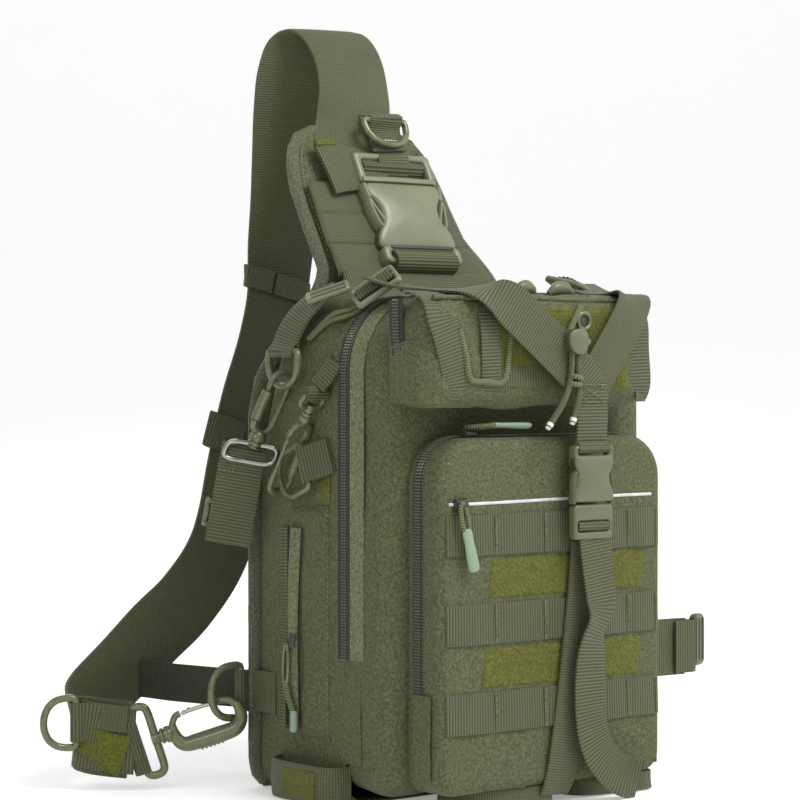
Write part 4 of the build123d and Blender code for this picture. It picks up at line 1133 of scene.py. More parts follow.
edge_path = [panel_point(table_value(PANEL_LEFT, z), z, 0) for z in range(2, 428, 6)]
edge_path += [panel_point(x, 435.5, 0) for x in range(-50, 18, 8)]
edge_path += [panel_point(table_value(PANEL_RIGHT, z), z, 0) for z in range(427, 0, -6)]
bound = Shape()
rows, coords, walked = [], [], 0.0
for i, p in enumerate(edge_path):
    a, b = edge_path[max(0, i - 1)], edge_path[min(len(edge_path) - 1, i + 1)]
    d = (b - a).normalized()
    inward = (V((p.x * 0.15, p.y, p.z)) - p).normalized() if 20 < p.z < 425 else (V((0, p.y, 200))
        - p).normalized()
    out = d.cross(inward).normalized()
    inward = out.cross(d).normalized()
    if i:
        walked += (p - edge_path[i - 1]).length
    width = 9.5 if p.z < 322 else 7.5
    reach = width * (1 + wobble(p, 9, 0.08, 2))
    ring = []
    for s, lift in ((1.0, 2.6), (0.86, 3.4), (0.5, 3.6), (0.2, 3.0), (-0.02, 1.6), (-0.1, 0), (-0.02, -1.6),
            (0.2, -3.0), (0.5, -3.6), (0.86, -3.4), (1.0, -2.6), (0.95, 0)):
        ring.append(p + inward * (s * reach) + out * (lift + wobble((p.x + s * 9, p.y, p.z), 3.2, 0.4, 8)))
    rows.append(ring)
    coords.append([(k * 2.2 * MM, walked * MM) for k in range(len(ring) + 1)])
bound.grid(rows, coords, wrap=True)
bound.object("panel_edge_binding", binding, "bag", "fabric")
seam = Shape()
for sign in (-1, 1):
    stitches(seam, [panel_point(table_value(PANEL_LEFT if sign < 0 else PANEL_RIGHT, z) - sign * 8.4, z, 4.3)
            for z in range(348, 424, 6)], NECK_OUT, 3.2, 2.2, 0.3)
seam.object("neck_stitching", thread, "bag", "fabric")


def neck(x, up, out):
    """Point on the leaning neck: sideways, up its slope and out of its face."""
    return V((x, NECK_AT.y, NECK_AT.z)) + NECK_UP * up + NECK_OUT * out


def neck_band(name, low, high, out, material, trims=(8, 10)):
    """Webbing sewn across the neck, its ends caught in the edge binding on both sides."""
    shape = Shape()
    rows, coords = [], []
    for j in range(9):
        up = lerp(low, high, j / 8)
        z = NECK_AT.z + NECK_UP.z * up
        x0, x1 = table_value(PANEL_LEFT, z) + trims[0], table_value(PANEL_RIGHT, z) - trims[1]
        rim = -0.7 if j in (0, 8) else 0.0
        row = []
        for k in range(25):
            t = k / 24
            lift = out + rim + 0.5 * sin(pi * t) + wobble((t * 60, low, up * 0.3), 16, 0.6, 4)
            row.append(neck(lerp(x0, x1, t), up, lift))
        rows.append(row)
        coords.append([(up * MM, p.x * MM) for p in row])
    shape.grid(rows, coords)
    thicken(shape.object(name, material, "bag", "webbing"), 1.5)


neck_band("neck_webbing_upper", 36.5, 61.5, -3.4, web_smooth)
neck_band("neck_webbing_middle", 13.5, 38, -3.0, web_smooth)
neck_band("neck_webbing_lower", -10, 14.5, -2.4, web_smooth)
neck_band("neck_base_webbing", -26, -6.5, -0.4, web, trims=(10, 16))
path = [[*neck(x, up, out), *(NECK_UP + V((tilt, 0, 0)))] for x, up, out, tilt in ((-8, 68, -1.5, 0.1),
        (-26, 71, -1.0, 0.12), (-40, 71, 0.2, 0.16), (-52, 70, 0.6, 0.2), (-60, 69, -0.2, 0.25))]
ribbon(Shape(), path, lambda t: 30 + 9 * t, 2.4, crown=1.0).object("strap_root_fold", web, "bag", "webbing")
path = [[*neck(-62 + 16 * t, 88.5 + 1.2 * t, 1.0), *NECK_UP] for t in (0, 0.5, 1)]
ribbon(Shape(), path, 4.5, 2.6).object("strap_root_fold_edge", loop, "bag", "loop")


# ---------------------------------------------------------------- moulded buckles
def domed(name, outline, place, half_depth, crown, rim, material, body=None, slot="plastic", replaces=()):
    """Moulded part with a soft crowned face: the outline, seen from its middle, in place(x, y, height)."""
    count = len(outline)
    cx, cy = sum(p[0] for p in outline) / count, sum(p[1] for p in outline) / count
    steps = [(1.0, -0.55), (1.0, 0.45), (0.992, 0.72), (0.97, 0.9), (0.93, 1.0)]
    rings = []
    reach = max(hypot(x - cx, y - cy) for x, y in outline)
    for scale, level in steps:
        shrink = (1 - scale) * reach * rim / 2.5
        ring = []
        for x, y in outline:
            d = hypot(x - cx, y - cy)
            k = max(0.0, 1 - shrink / d)
            ring.append((cx + (x - cx) * k, cy + (y - cy) * k, half_depth * level))
        rings.append(ring)
    base = rings[-1]
    for s in (0.85, 0.68, 0.5, 0.3, 0.1):
        rings.append([(lerp(cx, x, s), lerp(cy, y, s), half_depth + crown * (1 - s * s)) for x, y, _ in base])
    shape = Shape()
    all_rings = [[(x, y, -h) for x, y, h in ring] for ring in reversed(rings)] + rings
    rows = [[place(*p) for p in ring] for ring in all_rings]
    coords = [[(x * MM, y * MM) for x, y, _ in ring] + [(ring[0][0] * MM, ring[0][1] * MM)]
        for ring in all_rings]
    shape.ends(shape.grid(rows, coords, wrap=True), len(rows), count)
    return shape.object(name, material, body, slot, replaces)


def rounded(points, step=1.5):
    """Closed smooth outline through 2-D points."""
    return [(p[0], p[1]) for p in smooth_path([(x, y, 0) for x, y in points], step, closed=True)]


def mirrored(points):
    """Outline given by its right half from bottom to top."""
    return points + [(-x, y) for x, y in reversed(points)]


def prong_pair(size, at, half, height, plan, step, radius, sides, flat, out, material):
    """Both sprung prongs of a buckle: flat bows through the right one's (sideways, up) points."""
    for sign, side in ((-1, "left"), (1, "right")):
        path = smooth_path([list(at(sign * (half + x), y, height)) for x, y in plan], step)
        node = "%s_prong_%s" % (size, side)
        tube(Shape(), path, radius, sides, flat=flat, normal=V(out)).object("%s_prong_bow_%s" % (size, side),
            material, node, "plastic", node)


BUCKLE_X = -3.5


def at_neck(x, y, h):
    """Point of the large buckle: across, up the neck and out of it."""
    return neck(BUCKLE_X + x, y, h)


female_outline = rounded(mirrored([(0, 9.5), (16, 9.5), (27, 9.0), (31.2, 10.2), (32.2, 14), (30.2, 20),
            (26.2, 26), (24.2, 32), (24.4, 38), (27.2, 44), (30.6, 49), (31.6, 54), (30, 57.4), (24, 58.6),
            (10, 58.8)]), 1.6)
domed("large_buckle_face", female_outline, lambda x, y, h: at_neck(x, y,
        h * (1.08 - 0.42 * ((y - 38) / 24) ** 2 * (h > 0))), 6.2, 1.3, 3.0, plastic_pale, "bag", "plastic",
    "large_buckle_female")
foot_outline = round_rect(0, 3.4, 65, 13, 4.5)
plate("large_buckle_foot", [foot_outline, round_rect(0, 3.2, 53, 5.2, 2.0)[::-1]], at_neck(0, 0, 0),
    (1, 0, 0), NECK_OUT, 11.0, 2.2, plastic_pale, "bag")
# a near-black strip painted as the shadow in the buckle's slot
path = [[*at_neck(x, 8.2, 6.0), *NECK_UP] for x in range(-26, 27, 4)]
ribbon(Shape(), path, 2.2, 1.0).object("large_buckle_slot_shadow", coil, "bag", "plastic")
path = [at_neck(x, -0.6, 1.2) for x in (-25.5, -25, -18, -9, 0, 9, 18, 25, 25.5)]
tube(Shape(), path, 7.4, 22).object("buckle_webbing_roll", web_side, "bag", "webbing")
path = [[*at_neck(0, up, out), 1, 0, 0] for up, out in ((4, -6.2), (-4, -5.4), (-12, -2.2), (-20, 0.6),
        (-26, 1.4))]
ribbon(Shape(), path, 50, 3.2).object("buckle_anchor", web, "bag", "webbing", "buckle_anchor_webbing")
male_outline = round_rect(0, 70.2, 65, 23.5, 3.2)
slot_outline = round_rect(0, 69.9, 53, 14.0, 2.0)[::-1]
plate("large_buckle_frame", [male_outline, slot_outline], at_neck(0, 0, 0), (1, 0, 0), NECK_OUT, 9.0, 2.2,
    plastic_pale, "strap_upper", "large_buckle_male")
path = [[*at_neck(x, 60.4, 4.4 + 0.5 * cos(x / 24)), *NECK_UP] for x in range(-31, 32, 3)]
ribbon(Shape(), path, 3.6, 1.6).object("large_buckle_frame_lip", plastic_pale, "strap_upper", "plastic")
PRONG_PLAN = ((3.4, 57), (3.0, 51), (2.2, 46), (0.2, 40), (-3.0, 33), (-4.6, 27.4), (-3.0, 24.6), (-0.6, 26),
    (1.0, 31), (2.2, 37.5), (2.6, 43), (1.2, 48.6), (-0.4, 51))
prong_pair("large", at_neck, 28.2, 0.6, PRONG_PLAN, 1.6, 2.1, 10, 2.4, NECK_OUT, plastic_pale)

# ---------------------------------------------------------------- shoulder strap, one length of webbing
STRAP_LINE = [(-31, 73.3, 388, 50, -2, 10), (-32, 80.4, 402, 50, -2, 10), (-32, 86.2, 416, 50, -5, 10),
    (-27, 90, 428, 47, -12, 9), (-18.2, 98.4, 444.8, 46, -17, 4), (-11, 107.8, 463, 48, -12, 1),
    (-7.5, 117.5, 482, 49, -12, 0), (-9.5, 126, 497, 49, -13, 0), (-14, 134, 504.5, 49, -14, 0),
    (-19.5, 142, 504.5, 49, -15, 0), (-25.5, 149.5, 496, 49, -16, 0), (-28.5, 155.5, 477, 48, -16, 0),
    (-28, 160.5, 455, 48, -16, 1), (-27, 163.4, 425, 47, -18, 0), (-28, 164.0, 390, 47, -18, -1),
    (-31, 164.8, 362, 49, -10, 0), (-34, 165.5, 325, 50, 0, -3), (-41, 165.3, 292, 48, 0, -15),
    (-57, 165.3, 246, 48, 0, -14), (-68, 165.3, 204, 49, 0, -12), (-76, 165.3, 168, 47, 0, -18),
    (-88, 165.3, 141, 42, 0, -28), (-110, 165.3, 115, 35, 0, -36), (-134, 165.3, 96, 33, 0, -38),
    (-160, 165.3, 74, 32, 2, -39), (-181, 164, 58, 31, 4, -39), (-196, 159.5, 47.5, 22, 6, -44),
    (-205, 152, 41, 12, 4, -48), (-206.5, 145, 38, 6, -2, -49), (-201, 137.5, 35.5, 6, -4, -49),
    (-190, 129, 33.5, 8, -6, -49), (-181.5, 122.5, 32.5, 12, -9, -48)]
main_strap = strap("shoulder_strap", STRAP_LINE, 50, 2.6, web_smooth, None, "webbing",
    ("shoulder_strap_front", "shoulder_strap_rear", "strap_end"), 4.0, 0.4, 0.5,
    square=lambda p: ease((485 - p.z) / 55))
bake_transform(main_strap)
strap("ring_webbing", [(*neck(BUCKLE_X + 0.5, 66, -2.2), 1, 0, 0), (*neck(BUCKLE_X + 0.5, 72, 2.6), 1, 0, 0),
        (*neck(BUCKLE_X + 0.5, 78, 4.8), 1, -0.05, 0.05), (*neck(BUCKLE_X - 0.5, 86, 3.6), 1, -0.15, 0.08),
        (*neck(-4.5, 97, 3.8), 1, -0.25, 0.1), (*neck(-5.5, 108, 4.2), 1, -0.3, 0.1),
        (-6.5, 87, 438, 1, -0.3, 0.1)], 25, 2.0, web_smooth, "strap_upper")
strap("strap_slot_webbing", [(*neck(BUCKLE_X, 67.5, -3), 1, 0, 0), (*neck(BUCKLE_X, 70, 1.4), 1, 0, 0),
        (*neck(BUCKLE_X, 72.5, 3.3), 1, 0, 0), (*neck(BUCKLE_X, 75.5, 1.6), 1, 0, 0),
        (*neck(BUCKLE_X, 78, -3), 1, 0, 0), (*neck(BUCKLE_X - 3, 86, -6), 1, -0.1, 0.1)], 51, 2.6, web,
    "strap_upper")
RING_PIVOT = V(((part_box("strap_ring")[0][0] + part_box("strap_ring")[1][0]) / 2 / MM, 81.1, 440.7))
path = [[*(RING_PIVOT + NECK_UP * up + NECK_OUT * out), 1, -0.12, 0.05]
    for up, out in ((-22, -3.5), (-18, -3.6), (-12, -3.4), (-7, -3.0), (-4, -1.2), (-2.4, 2.2), (0, 4.0),
        (2.6, 2.4), (4.4, -1.6), (7, -4.6))]
ribbon(Shape(), path, 25, 1.8, crown=0.2).object("ring_tab_front", web_smooth, "strap_upper", "webbing",
    "strap_ring_tab")
path = [RING_PIVOT + NECK_UP * -14.5 + NECK_OUT * -2.2 + V((x, 0, 0)) for x in (-10.5, 10.5)]
stitches(Shape(), path, NECK_OUT, 2.6, 1.9, 0.42).object("ring_tab_stitch_dots", white_tip, "strap_upper",
    "webbing")

# rear keepers and the stabiliser band
path = smooth_path([[x, y, 337 - 0.24 * (x + 58), 0, 0, 1] for x, y in ((-40, 162.2), (-55, 162.4),
            (-60.5, 163.6), (-61, 166), (-56, 168.4), (-34, 168.2), (-12, 168.2), (-7.5, 166), (-8, 163.4),
            (-14, 162.2), (-28, 161.8), (-38, 161.6))], 3)
ribbon(Shape(), path, 15, 1.4).object("strap_keeper", web_smooth, "bag", "webbing")
path = [[x, y, 224 - 0.36 * (x + 68), 0.3, 0, 1] for x, y in ((-66, 162.6), (-74, 162.5), (-82, 162.6),
        (-89, 162.9), (-93, 165), (-89, 167.6), (-80, 168), (-60, 168), (-44, 167.6))]
ribbon(Shape(), path, 24, 1.8).object("strap_loop_keeper", web_smooth, "bag", "webbing")
stabiliser = [(-148, 167, 66, 0, 0, 1), (-143, 156, 65.5, 0, 0, 1), (-136, 142, 64.5, 0.02, 0.02, 1),
    (-126, 120, 64, 0, 0, 1), (-118, 104, 63.6, 0, 0, 1), (-113, 93, 63.5, 0, 0, 1),
    (-108, 84, 63.5, 0, 0, 1)]
# the stabiliser band's near-black webbing is painted shade
strap("stabiliser_strap", stabiliser, 25, 1.8, web_painted_shade, "bag", flutter=0.6)

# ---------------------------------------------------------------- snap hooks
GATE_FROM, GATE_TO = 0.2, 0.66


def local_place(origin, x_dir, z_dir):
    """Function that places local x, y, z in the bag, and the local z direction."""
    x = V(x_dir).normalized()
    z = V(z_dir)
    z = (z - x * z.dot(x)).normalized()
    y = z.cross(x)
    return lambda a, b, c=0.0: V(origin) + x * a + y * b + z * c, z


def bolt_snap(name, origin, x_dir, z_dir, length, width, wire, material, body, node, gate_body, gate_node,
        gate_material, spine=1.25, teeth=0, barrel=0.3, collar=1.0):
    """Snap hook: a thick spine and bow, a ringed collar on its swivel stem, and a thin sprung gate."""
    at, z = local_place(origin, x_dir, z_dir)
    half = width / 2 - wire / 2
    shape = Shape()
    start = [(GATE_FROM * length, half), (0.13 * length, half * 0.92), (0.07 * length, half * 0.55),
        (0.05 * length, 0)]
    low = [(0.08 * length, -half * 0.62), (0.16 * length, -half * 0.95), (0.3 * length, -half),
        (0.5 * length, -half * 1.02), (length - width * 0.55, -half)]
    bow = [(length - half - wire / 2 + half * cos(radians(a)), half * sin(radians(a)))
        for a in range(-75, 91, 15)]
    nose = [(0.66 * length + 1.5, half), (0.66 * length - 0.5, half * 0.97)]
    path = smooth_path([[*at(a, b)] for a, b in start + low + bow + nose], 1.4)

    def thickness(t):
        """Radius of the hook's wire along it."""
        fat = 1 + (spine - 1) * sin(pi * min(1, max(0, (t - 0.1) / 0.75))) ** 0.6
        return wire / 2 * fat * (1.0 if t < 0.93 else 1 - 0.35 * ((t - 0.93) / 0.07))

    tube(shape, path, thickness, 12, normal=z)
    for k in range(teeth):
        a = (0.34 + 0.055 * k) * length
        tube(shape, [at(a, -half - wire * 0.42 * spine, -wire * 0.42), at(a, -half - wire * 0.52 * spine, 0),
                at(a, -half - wire * 0.42 * spine, wire * 0.42)], 0.75, 8)
    turned = [(-8.6, 3.0), (-8.2, 3.4), (-7.4, 3.4), (-7.1, 2.7), (-6.4, 2.7), (-6.0, 3.7), (-4.4, 3.8),
        (-3.9, 3.2), (-3.3, 3.2), (-2.9, 4.0), (-1.0, 4.1), (0.6, 3.6), (2.4, 2.8), (3.4, 1.6)]
    turned = [(a, r * collar * wire / 4.4) for a, r in turned]
    rows = [[at(a, r * cos(tau * k / 16), r * sin(tau * k / 16)) for k in range(16)] for a, r in turned]
    coords = [[(k * 0.0012, a * MM) for k in range(17)] for a, r in turned]
    shape.ends(shape.grid(rows, coords, wrap=True), len(rows), 16)
    shape.object(name, material, body, "metal", node)
    gate = Shape()
    tube(gate, [at(GATE_FROM * length + 0.9, half - 0.3), at(0.34 * length, half + 0.1),
            at(0.5 * length, half + 0.1), at(GATE_TO * length - 0.9, half - 0.3)], barrel * wire, 12)
    tube(gate, [at(GATE_FROM * length + 2.2, half * 0.98, -wire * 0.34),
            at(GATE_FROM * length + 2.2, half * 0.98, wire * 0.34)], 0.36 * wire, 10)
    tube(gate, [at(GATE_FROM * length + 5.0, half + 0.4), at(GATE_FROM * length + 7.0, half + 1.6)],
        0.24 * wire, 8)
    gate.object(name + "_gate", gate_material, gate_body, "steel", gate_node)


def ring_band(name, pivot, x_dir, bar_dir, width, tail, body, wire=4.0, node=(), thick=1.5):
    """Webbing wrapped round a ring's bar, with both layers running back along `tail` points."""
    x, bar = V(x_dir).normalized(), V(bar_dir).normalized()
    z = x.cross(bar).normalized()
    bore = wire / 2 + thick / 2 + 0.35
    wrap = [V(pivot) + x * (bore * cos(radians(a))) + z * (bore * sin(radians(a)))
        for a in range(-100, 101, 20)]
    front = [V(t) + z * (thick * 0.55) for t in tail]
    back = [V(t) - z * (thick * 0.55) for t in tail]
    path = [[*p, *bar] for p in list(reversed(back)) + wrap + front]
    return ribbon(Shape(), smooth_path(path, 2.0), width, thick).object(name, web, body, "webbing", node)


# each hook's origin, its direction and the way its flat side looks
MAIN_X = V((0.749, -0.586, 0.309))
MAIN_HOOK = (V((-133.6, 84, 48.3)) - MAIN_X.normalized() * 37, MAIN_X, (-0.616, -0.788, 0))
LONG_X = V((0.25, -0.33, 0.91)).normalized()
LONG_HOOK = (V((-118, 44, 262)) - LONG_X * 35, LONG_X, LONG_X.cross(V((-0.97, 0, 0.2))))
RIBBED_X = V((0, 0.56, -0.83)).normalized()
RIBBED_HOOK = (V((-118, 43, 201.6)) - RIBBED_X * 47, RIBBED_X, RIBBED_X.cross(V((-1, 0, 0))))
bolt_snap("main_snap_hook", *MAIN_HOOK, 50, 25, 4.4, painted, "main_hook", "main_hook", "main_gate",
    "main_hook_gate", steel, 2.5, 6, collar=1.35)
bolt_snap("long_snap_hook", *LONG_HOOK, 46, 18, 4.0, painted, "long_hook", "side_hook_long", "long_gate",
    "side_hook_long_gate", painted, 0.8, barrel=0.86, collar=1.4)
bolt_snap("ribbed_snap_hook", *RIBBED_HOOK, 58, 18, 4.0, painted, "ribbed_hook", "side_hook_ribbed",
    "ribbed_gate", "side_hook_ribbed_gate", painted, 1.7, 0)
at_main, at_ribbed = local_place(*MAIN_HOOK)[0], local_place(*RIBBED_HOOK)[0]
ribs = Shape()
for k in range(6):
    a = 17 + 3.6 * k
    tube(ribs, [at_ribbed(a, -9.6, -3.4), at_ribbed(a, -10.2, 0), at_ribbed(a, -9.6, 3.4)], 1.0, 8)
    tube(ribs, [at_ribbed(a, -9.2, 3.2), at_ribbed(a, -7.6, 3.9), at_ribbed(a, -5.6, 3.4)], 0.8, 8)
ribs.object("ribbed_hook_ribs", painted, "ribbed_hook", "metal")

# each ring's pivot, the way it hangs and its bar's direction; then the webbing that holds the rings
CORNER_RING = ((-121, 84, 63.5), (-1, 0, 0), (0, 0, 1))
UPPER_RING = ((-118, 40, 284), (0, 0, -1), (0, 1, 0))
LOWER_RING = ((-118, 17, 212), (0, 0.93, -0.37), (0, 0.37, 0.93))
END_RING = ((-213, 137, 45), (-0.93, 0.36, 0), (0, 0, 1))
RIGHT_RING = ((114, -40, 62), (0, -0.3, -0.954), (0, 0.954, -0.3))
ring_band("corner_ring_band", *CORNER_RING, 27, [(-116, 83.6, 63.5), (-113, 80, 63.5), (-111, 70, 63.5),
        (-110, 60, 63.5)], "bag", node="ring_tabs")
ring_band("upper_ring_band", *UPPER_RING, 25, [(-116.6, 39, 290), (-114, 37, 298), (-109, 33, 308),
        (-101, 27, 317.5), (-90, 20, 325)], "bag")
ring_band("lower_ring_band", *LOWER_RING, 23, [(-115.5, 10, 215), (-113, 4, 217), (-110.5, -1, 219)], "bag")
ring_band("end_ring_band", *END_RING, 25, [(-207.5, 134.4, 45), (-202, 131, 44), (-194, 126.5, 42)], "bag")
ring_band("right_ring_band", *RIGHT_RING, 12, [(112.5, -38, 67), (110.5, -36, 72)], "bag", wire=3.0)
path = [at_main(-24.2, b) for b in (-19.6, -19.2, -12, -4, 4, 12, 19.2, 19.6)]
tube(Shape(), path, 5.4, 18).object("strap_end_roll", web_side, "bag", "webbing")
end_layer = [(-205.5, 149, 40, 9, 2, -48), (-209, 143, 37, 6, -3, -49), (-203.5, 134.5, 34.5, 6, -5, -49),
    (-193, 126, 32.5, 8, -6, -49), (-185, 119.5, 31.5, 11, -9, -48), (-181, 117, 31.2, 12, -9, -48)]
strap("strap_end_layer", end_layer, 41, 2.2, web, "bag")
strap("strap_end_layer_upper", [(a - 1.0, b - 1.6, c + 15, d, e, f) for a, b, c, d, e, f in end_layer[1:5]],
    17, 1.8, web_smooth, "bag", flutter=1.0)
path = [[x, y, z, 0.2, -0.1, -0.97] for x, y, z in ((-211, 139, 35), (-205, 133.0, 32), (-199, 128.6, 28.5),
        (-193, 124.0, 25.0), (-187, 119.6, 22.5))]
ribbon(Shape(), path, lambda t: 15 + 13 * t, 2.0).object("strap_end_loop_panel", loop, "bag", "loop")

# accessory strap below the long hook's swivel
acc_across = V((0.8, -0.573, -0.174)).normalized()
acc_low, acc_high = V((-158.8, 53.5, 151.8)), V((-120.0, 91.0, 216.3))
acc_middle = (acc_low + acc_high) / 2 + V((4.5, -3.2, 7.5))
acc_down = V((-0.2, 0.07, -1.0))
acc_down = (acc_down - acc_across * acc_down.dot(acc_across)).normalized()
acc_out = acc_across.cross(acc_down).normalized()
if acc_out.y > 0:
    acc_out = -acc_out
acc_points = [acc_middle + acc_down * d + acc_out * o for d, o in ((-22, -2.0), (-27, -1.6), (-31.5, 0.2),
        (-32.5, 1.6), (-31.0, 3.4), (-26, 4.2), (-18, 3.6), (-8, 3.3), (4, 3.6), (16, 3.4), (25, 3.2),
        (29.5, 2.0), (30.5, 0), (29, -2.4), (22, -3.0), (8, -2.6), (-8, -2.4), (-20, -2.2))]
path = smooth_path([[*p, *acc_across] for p in acc_points], 2.0)
ribbon(Shape(), path, 29, 2.0).object("accessory_webbing", web, "accessory", "webbing", "accessory_strap")
slider = Shape()
for d in (6, 21):
    tube(slider, [acc_middle + acc_down * d + acc_across * a + acc_out * o
            for a, o in ((-14.5, -4.4), (-16.4, -3.0), (-16.8, 0.5), (-16.4, 3.4), (-15.2, 5.0))], 1.4, 8)
tube(slider, [acc_middle + acc_down * d + acc_across * -16.6 + acc_out * (1.6 * sin(pi * (d - 4) / 18))
        for d in range(4, 24, 2)], 1.9, 8)
slider.object("accessory_slider", plastic, "accessory", "plastic")
path = [acc_middle + acc_down * (-15) + acc_across * a + acc_out * 4.9 for a in (-13, 13)]
stitches(Shape(), path, acc_out, 2.8, 2.0, 0.4).object("accessory_stitching", thread, "accessory", "webbing")

# ladder locks at the tops of the compression legs
LOCKS = {"left": (V((-84, -12, 324.5)), V((0.646, -0.505, 0.57)), V((-0.637, 0.052, 0.768))),
    "right": (V((88, -8, 325.5)), V((0.9, 0.19, -0.39)), V((0.38, -0.12, 0.92)))}
for side, (middle, bar, up) in LOCKS.items():
    bar = bar.normalized()
    up = (up - bar * up.dot(bar)).normalized()
    loops = [round_rect(0, 0, 33, 33, 4)] + [round_rect(0, c, 26.5, h, 1.2)[::-1]
        for c, h in ((11, 4.5), (3.0, 5.5), (-8.5, 9))]
    plate("ladder_lock_frame_" + side, loops, middle, bar, up, 4.2, 1.5, plastic_pale, "ladder_lock_" + side,
        "ladder_lock_" + side)
    along = up.cross(bar).normalized()
    ridged = Shape()
    for k in range(5):
        tube(ridged, [middle + bar * b + along * (-7.0 + 3.3 * k) + up * (1.6 + 1.3 * sin(pi * (k + 0.5) / 5))
                for b in (-12.6, -12.2, 0, 12.2, 12.6)], 1.75, 8)
    ridged.object("ladder_lock_ridges_" + side, web, "ladder_lock_" + side, "webbing")
small_lock_at = V((-99, 18, 321.5))
bar, up = V((0.7, -0.55, 0.3)).normalized(), V((-0.6, -0.1, 0.79))
up = (up - bar * up.dot(bar)).normalized()
plate("small_adjuster", [round_rect(0, 0, 29, 13, 3), round_rect(0, 2.4, 23, 3.2, 1)[::-1],
        round_rect(0, -2.8, 23, 3.2, 1)[::-1]], small_lock_at, bar, up, 3.6, 1.3, plastic_pale, "bag")
cord_pair = Shape()
for shift in (0.0, 3.2):
    tube(cord_pair, smooth_path([[-82 + shift, -8, 318 + shift * 0.4], [-93, -7 + shift, 309.5 + shift * 0.5],
                [-99.5, 0 + shift, 305.6 + shift], [-101.5, 10, 303.6 + shift], [-105, 18 + shift, 298],
                [-108.5, 24.5 + shift * 0.7, 291.5]], 2.0), 1.5, 8)
cord_pair.object("side_cord_pair", elastic, "bag", "elastic")

# ---------------------------------------------------------------- side pockets and their zips
for sign, side in ((-1, "left"), (1, "right")):
    def side_point(y, z, out):
        return V((sign * (107.4 + out), y, z))

    def pocket_out(y, z):
        """How far the side pocket's cloth stands off the bag's side."""
        rim = ease(min(y + 4, 48 - y, z - 36, 191 - z) / 9)
        valley = exp(-((y - (33 + 2.5 * sin(z / 60))) / 7.0) ** 2) * ease(min(z - 42, 180 - z) / 10)
        return 0.5 + rim * (5.2 + wobble((y, z, 3), 26, 1.4, 61)) - 3.0 * valley

    rows = [[side_point(y, z, pocket_out(y, z)) for y in range(-4, 49, 2)] for z in range(36, 192, 4)]
    body_shape = Shape()
    body_shape.grid(rows, sheet_coords(rows, "y"), flip=sign < 0)
    thicken(body_shape.object("side_pocket_" + side, fabric, "bag", "fabric", "side_pockets" if sign < 0
            else ()), 1.4)
    lane = [(side_point(33 + 2.5 * sin(z / 60), z, 5.0 + 1.4 * sin(pi * (z - 44) / 130)), z)
        for z in range(44, 176, 4)]
    tube(Shape(), [p for p, z in lane], lambda t: 5.6 - 1.2 * (1 - t), 12, flat=0.5,
        normal=V((sign, 0, 0))).object("side_pocket_welt_" + side, fabric_light, "bag", "fabric")
    for dy, tag in ((-7.4, "front"), (7.6, "rear")):
        coil_row = [[*(p + V((-sign * 1.2, dy, 0))), sign, 0, 0] for p, z in lane]
        beads(Shape(), coil_row, 0, 1.5, 0.9, 0.7, 1.2, 1).object("side_zip_coil_%s_%s" % (tag, side), coil,
            "bag", "zip")
    path = [[*(p + V((sign * 0.4, 10.5 + 2 * sin(z / 25), 0))), 0, 1, 0] for p, z in lane]
    ribbon(Shape(), path, 6.5, 1.6, crown=0.8).object("side_zip_lip_" + side, web, "bag", "webbing")
    sewn = Shape()
    for y in (-1.6, 1.4):
        stitches(sewn, [side_point(y, z, pocket_out(y, z) + 0.2) for z in range(40, 190, 5)], (sign, 0, 0),
            3.2, 2.2, 0.26)
    stitches(sewn, [side_point(y, 186, pocket_out(y, 186) + 0.3) for y in range(2, 26, 4)], (sign, 0, 0), 3.2,
        2.2, 0.32)
    sewn.object("side_pocket_stitching_" + side, thread, "bag", "fabric")
    path = [[*side_point(7.5, z, 1.8 + 0.6 * sin(z / 6)), 0, 1, 0] for z in range(188, 216, 3)]
    ribbon(Shape(), path, 14, 1.8).object("side_pocket_tab_" + side, loop if sign < 0 else web, "bag",
        "webbing")
    loop_path = [[sign * x, y, 12.8, 0, 0, 1] for x, y in ((106, -15), (110, -14), (117, -12), (121.5, -6),
            (123, 6), (123.6, 22), (123, 38), (120, 48), (113, 53), (107, 55))]
    ribbon(Shape(), smooth_path(loop_path, 2.5), 24, 2.2, crown=0.6).object("corner_loop_" + side, web_smooth,
        "bag", "webbing", "corner_loops" if sign < 0 else ())
    path = [[sign * (124.6 - (0.48 if y < 0 else 0)), y, 12.5, 0, 0, 1] for y in range(-2, 31, 4)]
    ribbon(Shape(), path, 17, 1.8).object("corner_loop_patch_" + side, loop, "bag", "loop")

# the left side zip's slider, its wire link and its cord pull
path = [(-115.6, 33, 104), (-116.4, 33, 101), (-116.8, 33, 96)]
tube(Shape(), path, lambda t: 3.4 - 0.8 * t, 10, flat=0.6, normal=V((-1, 0,
            0))).object("side_zip_slider_body", coil, "side_slider", "zip", "side_zip_slider")
link_loop = [[-118.6 + 0.4 * sin(a), 36.5 + 2.6 * cos(a), 84.5 + 13.5 * sin(a)]
    for a in [tau * k / 20 for k in range(20)]]
path = smooth_path(link_loop, 1.5, closed=True)
tube(Shape(), path, 1.25, 8, closed=True).object("side_zip_link", painted, "side_slider", "pull")
pull_cord = Shape()
for dy in (-1.3, 1.3):
    tube(pull_cord, smooth_path([[-118.8, 36.2 + dy, 73], [-118.6, 34.5 + dy, 66], [-117.6, 31.5 + dy, 58],
                [-117.2, 30.2 + dy * 0.7, 53]], 1.5), 1.35, 8)
pull_cord.object("side_zip_pull_cord", elastic, "side_slider", "pull")
path = [(-117.2, 30.2, 56), (-117.1, 30.0, 54), (-117.1, 29.9, 48), (-117.2, 29.9, 43.5),
    (-117.3, 29.9, 42.4)]
tube(Shape(), path, lambda t: 3.1 if 0.05 < t < 0.93 else 2.2, 12, flat=0.75,
    normal=V((-1, 0, 0))).object("side_zip_pull_tip", rubber_pull, "side_slider", "pull")

